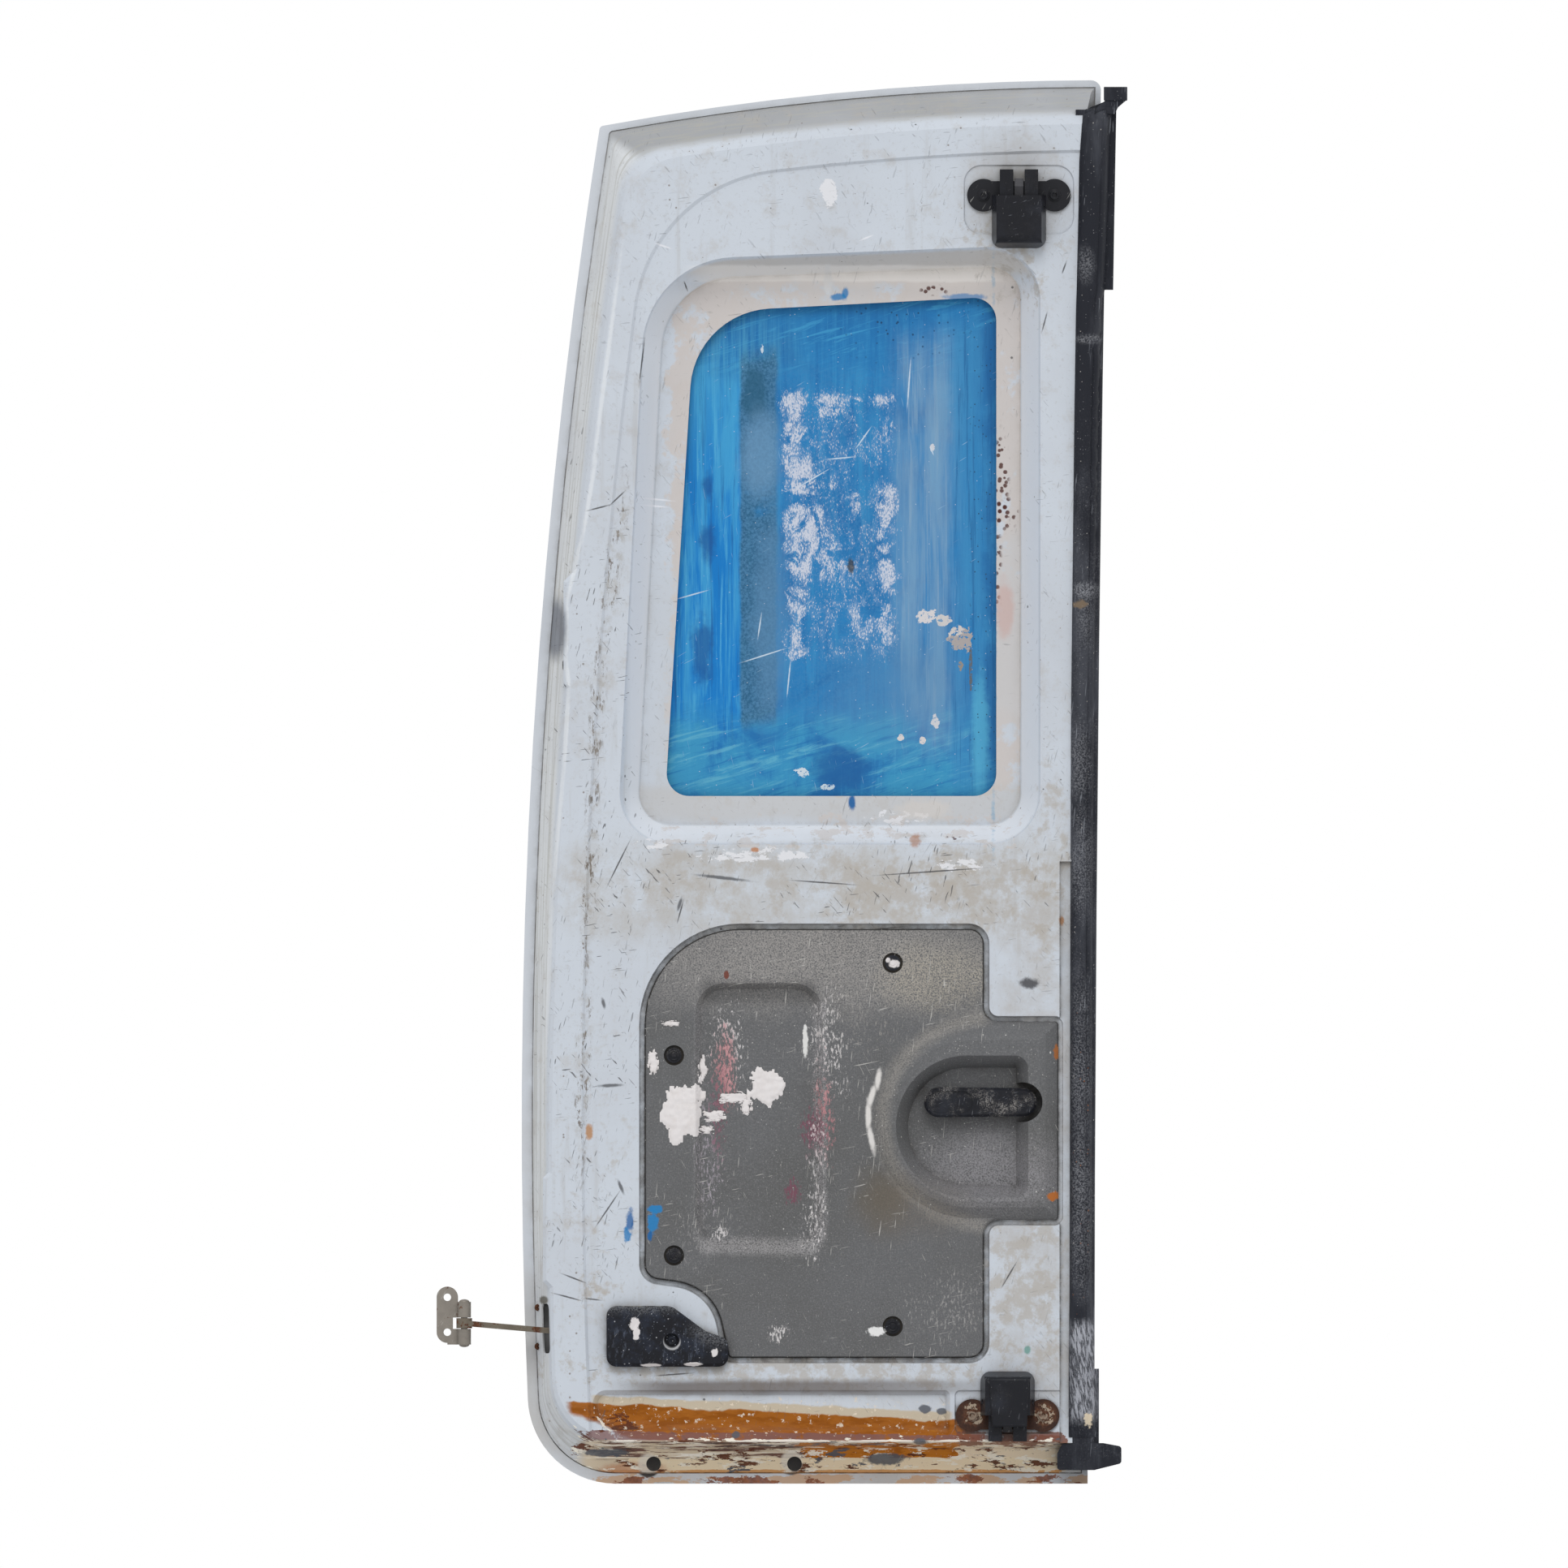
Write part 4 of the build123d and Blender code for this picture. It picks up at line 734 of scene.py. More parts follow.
def panel_marks(f, paint, pane):
    """Scratches, specks, smudges and grime over the whole panel, with a painted highlight on the
    plateau's edge and painted shade in creases and in the gap round the trim.
    """
    ticks = None
    for turn, threshold, stretch, cluster in (
        (14.0, 0.68, (560.0, 60.0, 70.0), 16.0),
        (-40.0, 0.69, (600.0, 60.0, 80.0), 19.0),
        (84.0, 0.7, (600.0, 60.0, 70.0), 21.0),
    ):
        mask = f.scratches(turn, threshold, stretch, cluster)
        ticks = mask if ticks is None else f.either(ticks, mask)
    border = f.either(f.patch(730, 1150, 60, 640, 0.4, 0.2), f.patch(1010, 1085, 330, 60, 0.4, 0.2))
    f.coat(f.both(ticks, f.level(border, 0.4, 1.0)), paint.grime, 0.8)
    seam = f.strokes(DIRT_SEAM, 9.0)
    f.coat(f.where(seam, f.stretched(230.0, 60.0, 70.0, 5.0, 0.7), 0.55, 0.62), (104, 92, 80), 0.85)
    f.coat(f.where(seam, f.noise(90.0, 5.0, 0.7), 0.45, 0.7), (160, 154, 144), 0.55)
    # Painted highlight along the plateau's left edge.
    f.coat(f.strokes(PLATEAU_EDGE_HIGHLIGHT, 2.6), (226, 230, 234), 0.6)
    f.coat(f.scratches(30.0, 0.74, (900.0, 60.0, 20.0), 8.0), (150, 152, 156), 0.6)
    f.coat(f.strokes(DARK_STROKES, 0.9), paint.grime, 0.9)
    f.coat(f.strokes(BOLD_STROKES, 2.0), (96, 98, 102), 0.9)
    f.coat(f.strokes(PALE_STROKES), (226, 228, 234), 0.85)
    f.coat(f.specks(70.0, 0.16, 0.1), paint.grime, 0.8)
    f.coat(f.specks(170.0, 0.14, 0.16), (120, 108, 98), 0.7)
    for spot in (
        (1238, 632, 15, 20), (1231, 590, 12, 56), (1226, 700, 8, 60), (1150, 358, 18, 6),
        (1175, 1030, 8, 9), (1222, 895, 4, 12),
    ):
        spots = f.both(f.patch(*spot, 0.3, 0.3), f.specks(230.0, 0.9, 0.5))
        f.coat(spots, (82, 46, 40), 0.9)
    for *spot, tint, strength, ragged in (
        (684, 775, 14, 36, (84, 90, 104), 0.75, 0.15),
        (1268, 1211, 12, 6, (70, 70, 74), 0.9, 0.9),
        (776, 1504, 5, 14, pane.deep, 0.85, 1.3),
        (773, 1522, 4, 9, pane.blue, 0.85, 1.3),
        (1308, 1135, 3, 6, (170, 112, 50), 0.8, 0.7),
        (726, 1394, 5, 9, (178, 122, 58), 0.8, 0.9),
        (1238, 750, 11, 34, (200, 166, 158), 0.6, 0.4),
        (1034, 366, 10, 4, pane.blue, 0.85, 0.9),
        (1042, 362, 4, 7, pane.blue, 0.85, 0.9),
        (1190, 366, 24, 4, pane.blue, 0.7, 0.8),
        (1224, 670, 3.5, 300, (120, 166, 196), 0.75, 0.9),
        (1050, 988, 4, 10, pane.deep, 0.95, 0.5),
        (1020, 345, 5, 18, (214, 214, 214), 0.6, 0.9),
        (930, 1047, 5, 3, (180, 112, 50), 0.8, 0.6),
        (1128, 1035, 6, 8, (168, 104, 50), 0.6, 0.9),
        (1140, 998, 30, 12, (208, 202, 196), 0.6, 0.8),
        (1250, 238, 62, 70, (172, 168, 164), 0.4, 0.4),
        # A painted dark spot stands for the small tool hole in the hinge wall: painted shade where
        # the hole is.
        (670, 1602, 5, 5, (82, 78, 66), 0.9, 0.3),
        (1266, 1664, 4, 5, (96, 150, 140), 0.8, 0.8),
    ):
        f.coat(f.patch(*spot, 0.35, ragged, 130.0), tint, strength)
    # Grime in creases over the panel, which is also painted shade where they are occluded.
    f.coat(f.grime(0.012, 46.0), (132, 127, 120), 0.62)
    # Grime in tight creases, which is also painted shade: laid towards the sill here and in the gap
    # round the trim below.
    fold = f.grime(0.004, 90.0)
    f.coat(f.both(fold, f.by_row(1600, 1720)), (78, 72, 68), 0.8)
    # Painted shadow in the gap round the trim, on the panel's step beside it.
    trim_gap_shade = f.both(
        f.block(770, 1316, 1126, 1680, 4), f.both(f.by_depth(-6.8, -5.6), f.by_depth(-2.8, -4.0))
    )
    f.coat(f.both(fold, trim_gap_shade), (36, 33, 31), 0.9)


DIRT_SEAM = (
    (771, 596, 738, 815), (740, 800, 732, 950), (733, 930, 722, 1200), (723, 1180, 714, 1450),
)


# Painted highlight along the plateau's left edge, as strokes of column, row, column, row.
PLATEAU_EDGE_HIGHLIGHT = (
    (763, 329, 729, 590), (735, 560, 717, 668), (717, 660, 699, 740), (699, 735, 697, 820),
    (698, 815, 701, 850), (701, 845, 694, 960), (695, 940, 680, 1110), (681, 1090, 672, 1300),
)


PALE_STROKES = (
    (787, 613, 826, 617), (790, 622, 822, 625), (1060, 296, 1075, 290), (808, 300, 826, 306),
)


BOLD_STROKES = (
    (860, 1078, 920, 1085), (738, 1338, 765, 1337), (835, 1122, 840, 1106), (742, 1230, 745, 1242),
    (762, 1455, 768, 1470),
)


DARK_STROKES = (
    (725, 629, 752, 622), (752, 622, 769, 606), (1284, 408, 1290, 386), (843, 347, 847, 358),
    (1309, 336, 1314, 322), (750, 1088, 774, 1040), (788, 470, 794, 420), (762, 1470, 735, 1510),
    (1235, 1585, 1252, 1556), (835, 1135, 842, 1110), (1040, 1150, 1110, 1142),
    (980, 1085, 1050, 1090), (1090, 1078, 1205, 1070), (694, 1570, 720, 1580),
    (684, 1594, 714, 1602), (722, 1600, 740, 1602), (810, 1695, 850, 1692),
)


def skin_paint(paint):
    """White paint of the outer skin, with road film low down, a chipped hem and painted shade on
    its inner face behind the drain holes.
    """
    f = Finish("skin paint", paint.skin, 0.3)
    f.coat(f.fade(f.noise(3.0, 4.0, 0.6), 0.45, 0.7), (196, 200, 204), 0.5)
    film = f.fade(f.z, 0.30, -0.22)
    f.coat(f.where(film, f.noise(12.0, 5.0, 0.6), 0.35, 0.65), paint.dirt, 0.5, 0.55)
    f.coat(f.specks(60.0, 0.1, 0.08), paint.grime, 0.8, 0.6)
    f.coat(f.scratches(20.0, 0.74), paint.grime, 0.5, 0.6)
    f.coat(f.scratches(-60.0, 0.76), (150, 152, 156), 0.6, 0.5)
    hem = f.both(f.by_row(1812, 1822), 0.5)
    f.coat(f.broken(hem, 70.0, 0.1, grain=(3.0, 1.0, 1.0)), (198, 160, 122), 0.8, 0.7)
    f.coat(
        f.flakes(hem, 0.75, 60.0, 0.05, (2.0, 0.0, 1.0), (2.0, 1.0, 1.0)),
        f.rust(paint.rust, (150, 84, 44)),
        0.9,
        0.8,
    )
    # Painted shade: the skin's inner face is dark where it shows through the panel's drain holes.
    for column, row in DRAIN_HOLES:
        inner_face = lay_on("outer_skin", across(column), up(row))
        inside = f.fade(f.y, inner_face + 0.7 * MM, inner_face + 0.3 * MM)
        f.coat(f.both(inside, f.patch(column, row, 16, 16, 0.1, 0.1)), (34, 26, 22), 0.95, 0.9)
    # Grime in creases on the skin, which is also painted shade where they are occluded.
    f.coat(f.grime(0.01, 60.0), (120, 116, 110), 0.5, 0.7)
    f.raise_by(f.noise(300.0, 2.0), 0.04)
    return f.done(0.25, 0.001, Coat_Weight=0.25, Coat_Roughness=0.12)


def pane_paint(pane):
    """Blue coat brushed on the glass by hand, scraped and flaked."""
    f = Finish("hand painted pane", pane.blue, 0.5)
    strokes = f.stretched(230.0, 20.0, 7.0, 7.0, 0.72, 0.3)
    wide_strokes = f.stretched(48.0, 20.0, 5.0, 5.0, 0.66, 0.4)
    sideways = f.stretched(14.0, 20.0, 150.0, 7.0, 0.72, 0.7, math.radians(-16))
    clouds = f.noise(15.0, 6.0, 0.66, 0.6)
    f.coat(f.fade(clouds, 0.4, 0.64), pane.deep, 0.6)
    f.coat(f.fade(wide_strokes, 0.5, 0.66), pane.pale, 0.35)
    f.coat(f.fade(strokes, 0.47, 0.34), pane.deep, 0.4)
    f.coat(f.fade(strokes, 0.54, 0.68), pane.pale, 0.32)
    left = f.both(f.columns(780, 913, 2, 3), f.band(440, 900, 40, 40))
    f.coat(left, pane.bright, 0.8)
    f.coat(f.where(left, wide_strokes, 0.48, 0.62), pane.pale, 0.6)
    f.coat(f.where(left, strokes, 0.47, 0.36), pane.deep, 0.75)
    f.coat(f.where(left, strokes, 0.53, 0.66), (88, 176, 216), 0.7)
    f.coat(f.both(left, f.both(f.band(400, 560, 60, 30), 0.6)), pane.pale, 0.7)
    for spot in ((872, 600, 7, 14), (872, 668, 10, 20), (866, 800, 12, 40)):
        f.coat(f.patch(*spot, 0.5, 1.0, 60.0), (20, 84, 150), 0.75)
    top = f.zone((350, 458, 20, 20), (840, 1240, 20))
    f.coat(f.where(top, sideways, 0.36, 0.6), (28, 112, 174), 0.7)
    f.coat(f.where(top, sideways, 0.52, 0.64), pane.pale, 0.55)
    f.coat(
        f.where(f.patch(900, 430, 70, 40, 0.7, 0.6, 30.0), strokes, 0.35, 0.6), (78, 158, 196), 0.6
    )
    bottom = f.zone((882, 1000, 24, 34), (790, 1240, 20))
    f.coat(f.where(bottom, clouds, 0.62, 0.4), pane.teal, 0.8)
    f.coat(f.where(bottom, sideways, 0.48, 0.36), (26, 110, 172), 0.7)
    f.coat(f.where(bottom, sideways, 0.53, 0.66), (106, 182, 204), 0.55)
    f.coat(f.patch(1035, 945, 34, 22, 0.4, 1.0, 34.0), (24, 92, 154), 0.8)
    smoke = f.both(f.columns(912, 957, 3, 4), f.band(436, 892, 14, 20))
    mottle = f.noise(420.0, 5.0, 0.7)
    smoky = f.mix(f.fade(mottle, 0.36, 0.64), pane.smoky, (40, 88, 118))
    f.coat(f.where(smoke, clouds, 0.25, 0.45), smoky, 0.85)
    f.coat(f.patch(930, 488, 15, 32, 0.3, 0.6, 60.0), (34, 88, 118), 0.7)
    f.coat(f.patch(938, 560, 24, 52, 0.5, 0.5, 40.0), (108, 152, 188), 0.65)
    f.coat(f.patch(950, 770, 22, 110, 0.5, 0.5, 40.0), (90, 136, 174), 0.55)
    middle = f.both(f.columns(957, 1110, 12, 8), f.band(450, 880, 30, 30))
    f.coat(f.where(middle, mottle, 0.4, 0.62), (58, 128, 182), 0.5)
    haze = f.both(f.columns(1106, 1176, 20, 10), f.band(430, 900, 50, 40))
    f.coat(f.where(haze, wide_strokes, 0.26, 0.6), pane.haze, 0.7)
    f.coat(f.where(haze, strokes, 0.5, 0.62), (142, 168, 190), 0.4)
    f.coat(f.patch(1110, 850, 80, 60, 0.7, 0.8, 22.0), (84, 136, 178), 0.45)
    right = f.both(f.columns(1172, 1240, 6, 5), f.band(400, 960, 30, 20))
    f.coat(f.where(right, wide_strokes, 0.3, 0.55), (58, 136, 188), 0.7)
    f.coat(f.where(right, strokes, 0.48, 0.38), (32, 98, 152), 0.6)
    f.coat(f.both(right, f.where(f.by_column(1205, 1218), clouds, 0.35, 0.6)), pane.deep, 0.6)
    f.coat(f.patch(1208, 905, 10, 70, 0.5, 0.6), (84, 172, 208), 0.7)
    f.raise_by(strokes, 0.5)
    f.raise_by(sideways, 0.25)
    scraped_coat(f, pane)
    f.coat(f.specks(260.0, 0.14, 0.12), (196, 208, 222), 0.8)
    f.coat(
        f.both(f.patch(1110, 400, 70, 44, 0.6, 0.4), f.specks(220.0, 0.4, 0.34)), (24, 62, 98), 0.85
    )
    f.coat(f.both(f.columns(1196, 1226, 6), f.specks(280.0, 0.36, 0.28)), (36, 62, 84), 0.85)
    f.coat(f.strokes(PANE_STROKES, 0.8), (200, 216, 230), 0.9)
    f.coat(f.scratches(60.0, 0.7, (800.0, 60.0, 60.0), 17.0), (150, 186, 214), 0.6)
    f.coat(f.scratches(-12.0, 0.7, (800.0, 60.0, 50.0), 13.0), (150, 186, 214), 0.5)
    return f.done(0.35, 0.0008)


PANE_STROKES = (
    (838, 737, 870, 728), (918, 815, 965, 800), (934, 785, 938, 758), (970, 855, 974, 815),
    (1055, 552, 1072, 528), (1020, 566, 1052, 563), (984, 600, 1018, 580), (1118, 500, 1122, 445),
    (1150, 560, 1146, 550),
)


def scraped_coat(f, pane):
    """White ground that shows where the blue coat is scraped or chipped."""
    scraped = f.both(f.block(964, 1106, 478, 818, 14, 14), 0.3)
    for left, right, top, bottom, soft, share in (
        (964, 996, 480, 548, 9, 0.66), (964, 988, 545, 572, 8, 0.5), (964, 1002, 560, 592, 9, 0.64),
        (962, 1030, 590, 608, 6, 0.66), (966, 1016, 622, 708, 14, 0.7),
        (968, 992, 720, 815, 10, 0.6), (1080, 1106, 596, 738, 10, 0.62),
        (1076, 1104, 740, 812, 13, 0.5), (1004, 1064, 486, 506, 8, 0.62),
        (1080, 1102, 484, 498, 6, 0.58),
    ):
        mask = f.both(f.block(left, right, top, bottom, soft, 16), share)
        scraped = f.either(scraped, mask)
    for *spot, share in (
        (1026, 502, 26, 18, 0.66), (1014, 690, 38, 38, 0.6), (1052, 618, 9, 16, 0.76),
        (1095, 530, 12, 22, 0.52), (1062, 760, 30, 40, 0.44),
    ):
        scraped = f.either(scraped, f.both(f.patch(*spot, 0.8, 0.8, 50.0), share))
    worn = f.stretched(70.0, 20.0, 40.0, 6.0, 0.68, 1.2)
    scraped = f.math(
        "ADD", scraped, f.both(scraped, f.math("SUBTRACT", f.fade(worn, 0.36, 0.6), 0.62))
    )
    f.coat(f.fade(scraped, 0.24, 0.72), (134, 166, 202), 0.6)
    frost = f.broken(scraped, 640.0, 0.34, grain=(0.7, 1.0, 1.6))
    f.coat(frost, pane.scraped, 0.9, 0.6)
    f.raise_by(frost, -0.3)
    for *spot, tint in (
        (1142, 760, 14, 9, (214, 210, 210)),
        (1162, 764, 12, 7, (206, 202, 200)),
        (1184, 788, 15, 14, (172, 164, 160)),
        (1178, 778, 10, 7, (206, 200, 196)),
        (1184, 820, 3, 7, (150, 138, 124)),
        (1110, 908, 4, 5, (214, 208, 206)),
        (1137, 912, 4, 5, (214, 208, 206)),
        (1152, 888, 5, 8, (206, 206, 210)),
        (988, 951, 8, 6, (206, 216, 224)),
        (1020, 970, 8, 4, (200, 216, 226)),
        (1149, 553, 3, 6, (206, 208, 214)),
        (939, 430, 2, 7, (200, 214, 226)),
        (1196, 826, 2, 26, (96, 100, 104)),
    ):
        chip = f.both(f.patch(*spot, 0.2, 1.1, 110.0), 0.8)
        f.coat(f.broken(chip, 260.0, 0.1), tint, 0.95)
    f.coat(f.patch(1049, 698, 4, 9, 0.3, 1.2, 150.0), (58, 54, 48), 0.8)


def trim_plastic(colours, pane):
    """Grained grey plastic with dust, scuffs and rubbed paint, and painted shade and highlights
    round its pocket, its dish, its bezel and its outer edge.
    """
    f = Finish("trim plastic", colours.trim, 0.6)
    grain = f.grain(560.0)
    f.raise_by(grain, 0.9)
    f.coat(f.fade(f.noise(7.0, 4.0, 0.6), 0.4, 0.7), (90, 90, 89), 0.6)
    fleck = f.noise(760.0, 4.0, 0.7)
    f.coat(f.fade(fleck, 0.52, 0.66), (140, 140, 142), 0.42)
    f.coat(f.fade(fleck, 0.46, 0.34), (72, 72, 72), 0.4)
    dusty = f.where(f.patch(1010, 1180, 230, 56, 0.7, 0.7, 16.0), fleck, 0.36, 0.6)
    f.coat(dusty, colours.dust, 0.7, 0.8)
    f.coat(
        f.where(f.patch(1150, 1205, 60, 36, 0.6, 0.7, 20.0), fleck, 0.4, 0.6), (180, 172, 156), 0.55
    )
    # Painted shade along the pocket's top edge, and painted highlights along its bottom and both
    # sides, where its rounded walls catch the light.
    f.coat(f.both(f.block(866, 1006, 1210, 1236, 9, 3), 0.75), (66, 66, 67), 0.7)
    f.coat(f.where(f.block(864, 1008, 1526, 1544, 7, 4), fleck, 0.36, 0.58), (164, 162, 163), 0.75)
    f.coat(f.where(f.block(855, 866, 1236, 1530, 4, 3), fleck, 0.4, 0.62), (144, 142, 144), 0.6)
    f.coat(f.where(f.block(1004, 1018, 1236, 1530, 5, 4), fleck, 0.38, 0.6), (158, 156, 158), 0.7)
    # Painted light on the lower part of the handle's dish, which faces up, laid as a pale mottle.
    f.coat(
        f.where(f.patch(1220, 1446, 84, 44, 0.7, 0.4, 30.0), fleck, 0.34, 0.6), (152, 150, 154), 0.7
    )
    f.coat(f.patch(1086, 1478, 30, 34, 0.7, 0.7, 40.0), (98, 88, 72), 0.5)
    # Painted shadow: the trim's outer step, outside the pocket and the dish, is darkened to show
    # the gap round the trim.
    hollows = f.either(f.block(1096, 1302, 1256, 1520, 4), f.block(846, 1026, 1200, 1554, 3))
    trim_edge_shade = f.both(f.by_depth(-8.8, -8.0), f.outside(hollows))
    f.coat(trim_edge_shade, (30, 29, 28), 0.9, 0.9)
    # Painted highlight on the left half of the bezel's raised ring.
    ridge_highlight = f.both(
        f.patch(1219, 1382, 140, 136, 0.06, 0.05),
        f.outside(f.patch(1219, 1382, 124, 119, 0.06, 0.05)),
    )
    ridge_highlight = f.both(ridge_highlight, f.by_column(1226, 1206))
    f.coat(f.where(ridge_highlight, fleck, 0.3, 0.6), (158, 154, 148), 0.6)
    f.coat(
        f.where(f.patch(1128, 1486, 60, 34, 0.7, 0.7, 30.0), fleck, 0.3, 0.6), (110, 98, 80), 0.32
    )
    clusters = f.fade(f.noise(22.0, 4.0, 0.6), 0.44, 0.62)
    f.coat(f.both(clusters, f.specks(430.0, 0.4, 0.2)), (190, 188, 186), 0.75)
    f.coat(f.specks(190.0, 0.42, 0.15), (200, 198, 194), 0.8)
    f.coat(f.specks(80.0, 0.14, 0.09), (206, 204, 202), 0.8)
    f.coat(f.scratches(6.0, 0.69, (800.0, 60.0, 46.0), 12.0), (186, 184, 180), 0.75)
    f.coat(f.scratches(-28.0, 0.73, (860.0, 60.0, 60.0), 14.0), (186, 184, 180), 0.6)
    f.coat(f.scratches(78.0, 0.705, (860.0, 60.0, 50.0), 12.0), (196, 194, 190), 0.7)
    for *spot, tint, share, strength in (
        (897, 1300, 26, 70, colours.chalk, 0.5, 0.75),
        (893, 1322, 16, 52, colours.pink, 0.7, 0.8),
        (874, 1420, 18, 90, (176, 168, 178), 0.5, 0.7),
        (884, 1372, 12, 60, colours.magenta, 0.62, 0.7),
        (1020, 1290, 26, 80, colours.chalk, 0.5, 0.75),
        (1014, 1370, 14, 70, colours.pink, 0.62, 0.8),
        (1004, 1392, 16, 34, colours.magenta, 0.78, 0.8),
        (976, 1467, 11, 18, colours.magenta, 0.82, 0.8),
        (1008, 1450, 13, 110, colours.chalk, 0.46, 0.75),
        (1002, 1520, 18, 46, colours.chalk, 0.46, 0.7),
        (885, 1522, 14, 12, colours.chalk, 0.56, 0.8),
        (960, 1645, 14, 14, colours.chalk, 0.6, 0.8),
        (1170, 1610, 60, 50, (170, 168, 166), 0.4, 0.6),
        (1060, 1250, 70, 60, (168, 164, 158), 0.36, 0.5),
        (860, 1530, 40, 60, (160, 158, 158), 0.34, 0.6),
    ):
        patch = f.both(f.patch(*spot, 0.8, 0.7, 40.0), share)
        f.coat(f.broken(patch, 420.0, 0.3, grain=(0.8, 1.0, 2.0)), tint, strength)
    f.coat(f.strokes(BEZEL_FILLER, 3.4), (224, 221, 218), 0.95)
    for *spot, tint, ragged in (
        (992, 1284, 3, 18, (226, 226, 224), 0.9),
        (808, 1490, 9, 5, pane.blue, 0.9),
        (804, 1506, 6, 14, pane.blue, 1.0),
        (801, 1524, 3, 8, pane.deep, 1.0),
        (1079, 1640, 12, 5, (234, 234, 234), 1.1),
        (1302, 1297, 5, 8, (168, 104, 56), 1.1),
        (1298, 1474, 7, 6, (186, 108, 44), 1.1),
        (895, 1201, 3, 5, (112, 60, 48), 0.6),
    ):
        f.coat(f.patch(*spot, 0.2, ragged, 140.0), tint, 0.92)
    # Grime in creases on the trim, which is also painted shade where they are occluded.
    f.coat(f.grime(0.012, 60.0), (60, 55, 48), 0.75, 0.85)
    return f.done(0.5, 0.0006)


BEZEL_FILLER = (
    (1084, 1318, 1080, 1342), (1078, 1336, 1070, 1366), (1070, 1356, 1070, 1394),
    (1070, 1386, 1077, 1420),
)


def black_plastic(name, colours, dust, chalked=()):
    """Black moulded plastic, rubbed grey on its flats and dusty in patches."""
    f = Finish(name, colours.black, 0.3, 0.0, 0.14)
    f.coat(f.fade(f.noise(40.0, 5.0, 0.65), 0.45, 0.75), (56, 60, 70), 0.35)
    f.coat(f.scratches(8.0, 0.68, (900.0, 300.0, 90.0), 30.0), (132, 134, 140), 0.5)
    f.coat(f.scratches(70.0, 0.7, (900.0, 300.0, 100.0), 34.0), (116, 120, 128), 0.5)
    f.coat(f.specks(380.0, 0.24, 0.12), (150, 150, 150), 0.6)
    film = f.where(f.fade(f.noise(50.0, 5.0, 0.7), 0.46, 0.74), f.noise(900.0, 3.0), 0.36, 0.7)
    f.coat(film, colours.dust, dust, 0.7)
    for spot in chalked:
        f.coat(f.patch(*spot, 0.2, 1.0, 140.0), colours.chalk, 0.95)
    f.raise_by(f.grain(900.0), 0.4)
    return f.done(0.2, 0.0004)


def cover_plastic(colours):
    """Black cover over the door check, smeared, chipped white and misted with paint at its top,
    with a painted highlight round its screw.
    """
    f = Finish("check cover plastic", colours.black, 0.46, 0.0, 0.12)
    f.coat(f.fade(f.noise(60.0, 5.0, 0.65), 0.46, 0.7), (46, 52, 66), 0.7)
    smears = f.both(
        f.fade(f.stretched(210.0, 60.0, 70.0, 5.0, 0.7), 0.54, 0.7), f.band(1630, 1690, 14)
    )
    f.coat(smears, (96, 104, 120), 0.5)
    fine = f.noise(900.0, 4.0, 0.7)
    top_edge = f.either(f.band(1596, 1616, 8, 5), f.patch(885, 1632, 28, 24, 0.6, 0.4))
    f.coat(f.where(top_edge, fine, 0.4, 0.62), (126, 128, 132), 0.75)
    f.coat(
        f.where(f.band(1598, 1609, 3, 4), f.noise(160.0, 5.0, 0.7), 0.48, 0.58),
        (176, 172, 160),
        0.75,
    )
    f.coat(f.specks(420.0, 0.5, 0.2), (128, 136, 150), 0.65)
    f.coat(f.specks(210.0, 0.36, 0.16), (176, 178, 182), 0.75)
    f.coat(
        f.both(f.patch(850, 1640, 60, 40, 0.7, 0.4), f.specks(320.0, 0.6, 0.24)),
        (150, 156, 168),
        0.7,
    )
    for *spot, ragged in (
        (782, 1632, 6, 8, 0.9), (784, 1642, 4, 9, 0.9), (880, 1667, 4, 5, 1.1),
        (802, 1682, 12, 2, 0.5), (854, 1681, 11, 2.4, 0.5),
    ):
        f.coat(f.patch(*spot, 0.15, ragged, 190.0), colours.chalk, 0.92, 0.6)
    # Painted highlight: a pale arc round the cover's screw.
    screw_ring_highlight = f.both(
        f.patch(828, 1653, 10.5, 10.5, 0.1, 0.1), f.outside(f.patch(828, 1650, 10, 10, 0.1, 0.1))
    )
    f.coat(screw_ring_highlight, (190, 190, 192), 0.8)
    f.coat(f.scratches(40.0, 0.7, (900.0, 300.0, 80.0), 30.0), (140, 140, 144), 0.6)
    f.raise_by(f.grain(800.0), 0.4)
    return f.done(0.22, 0.0004)


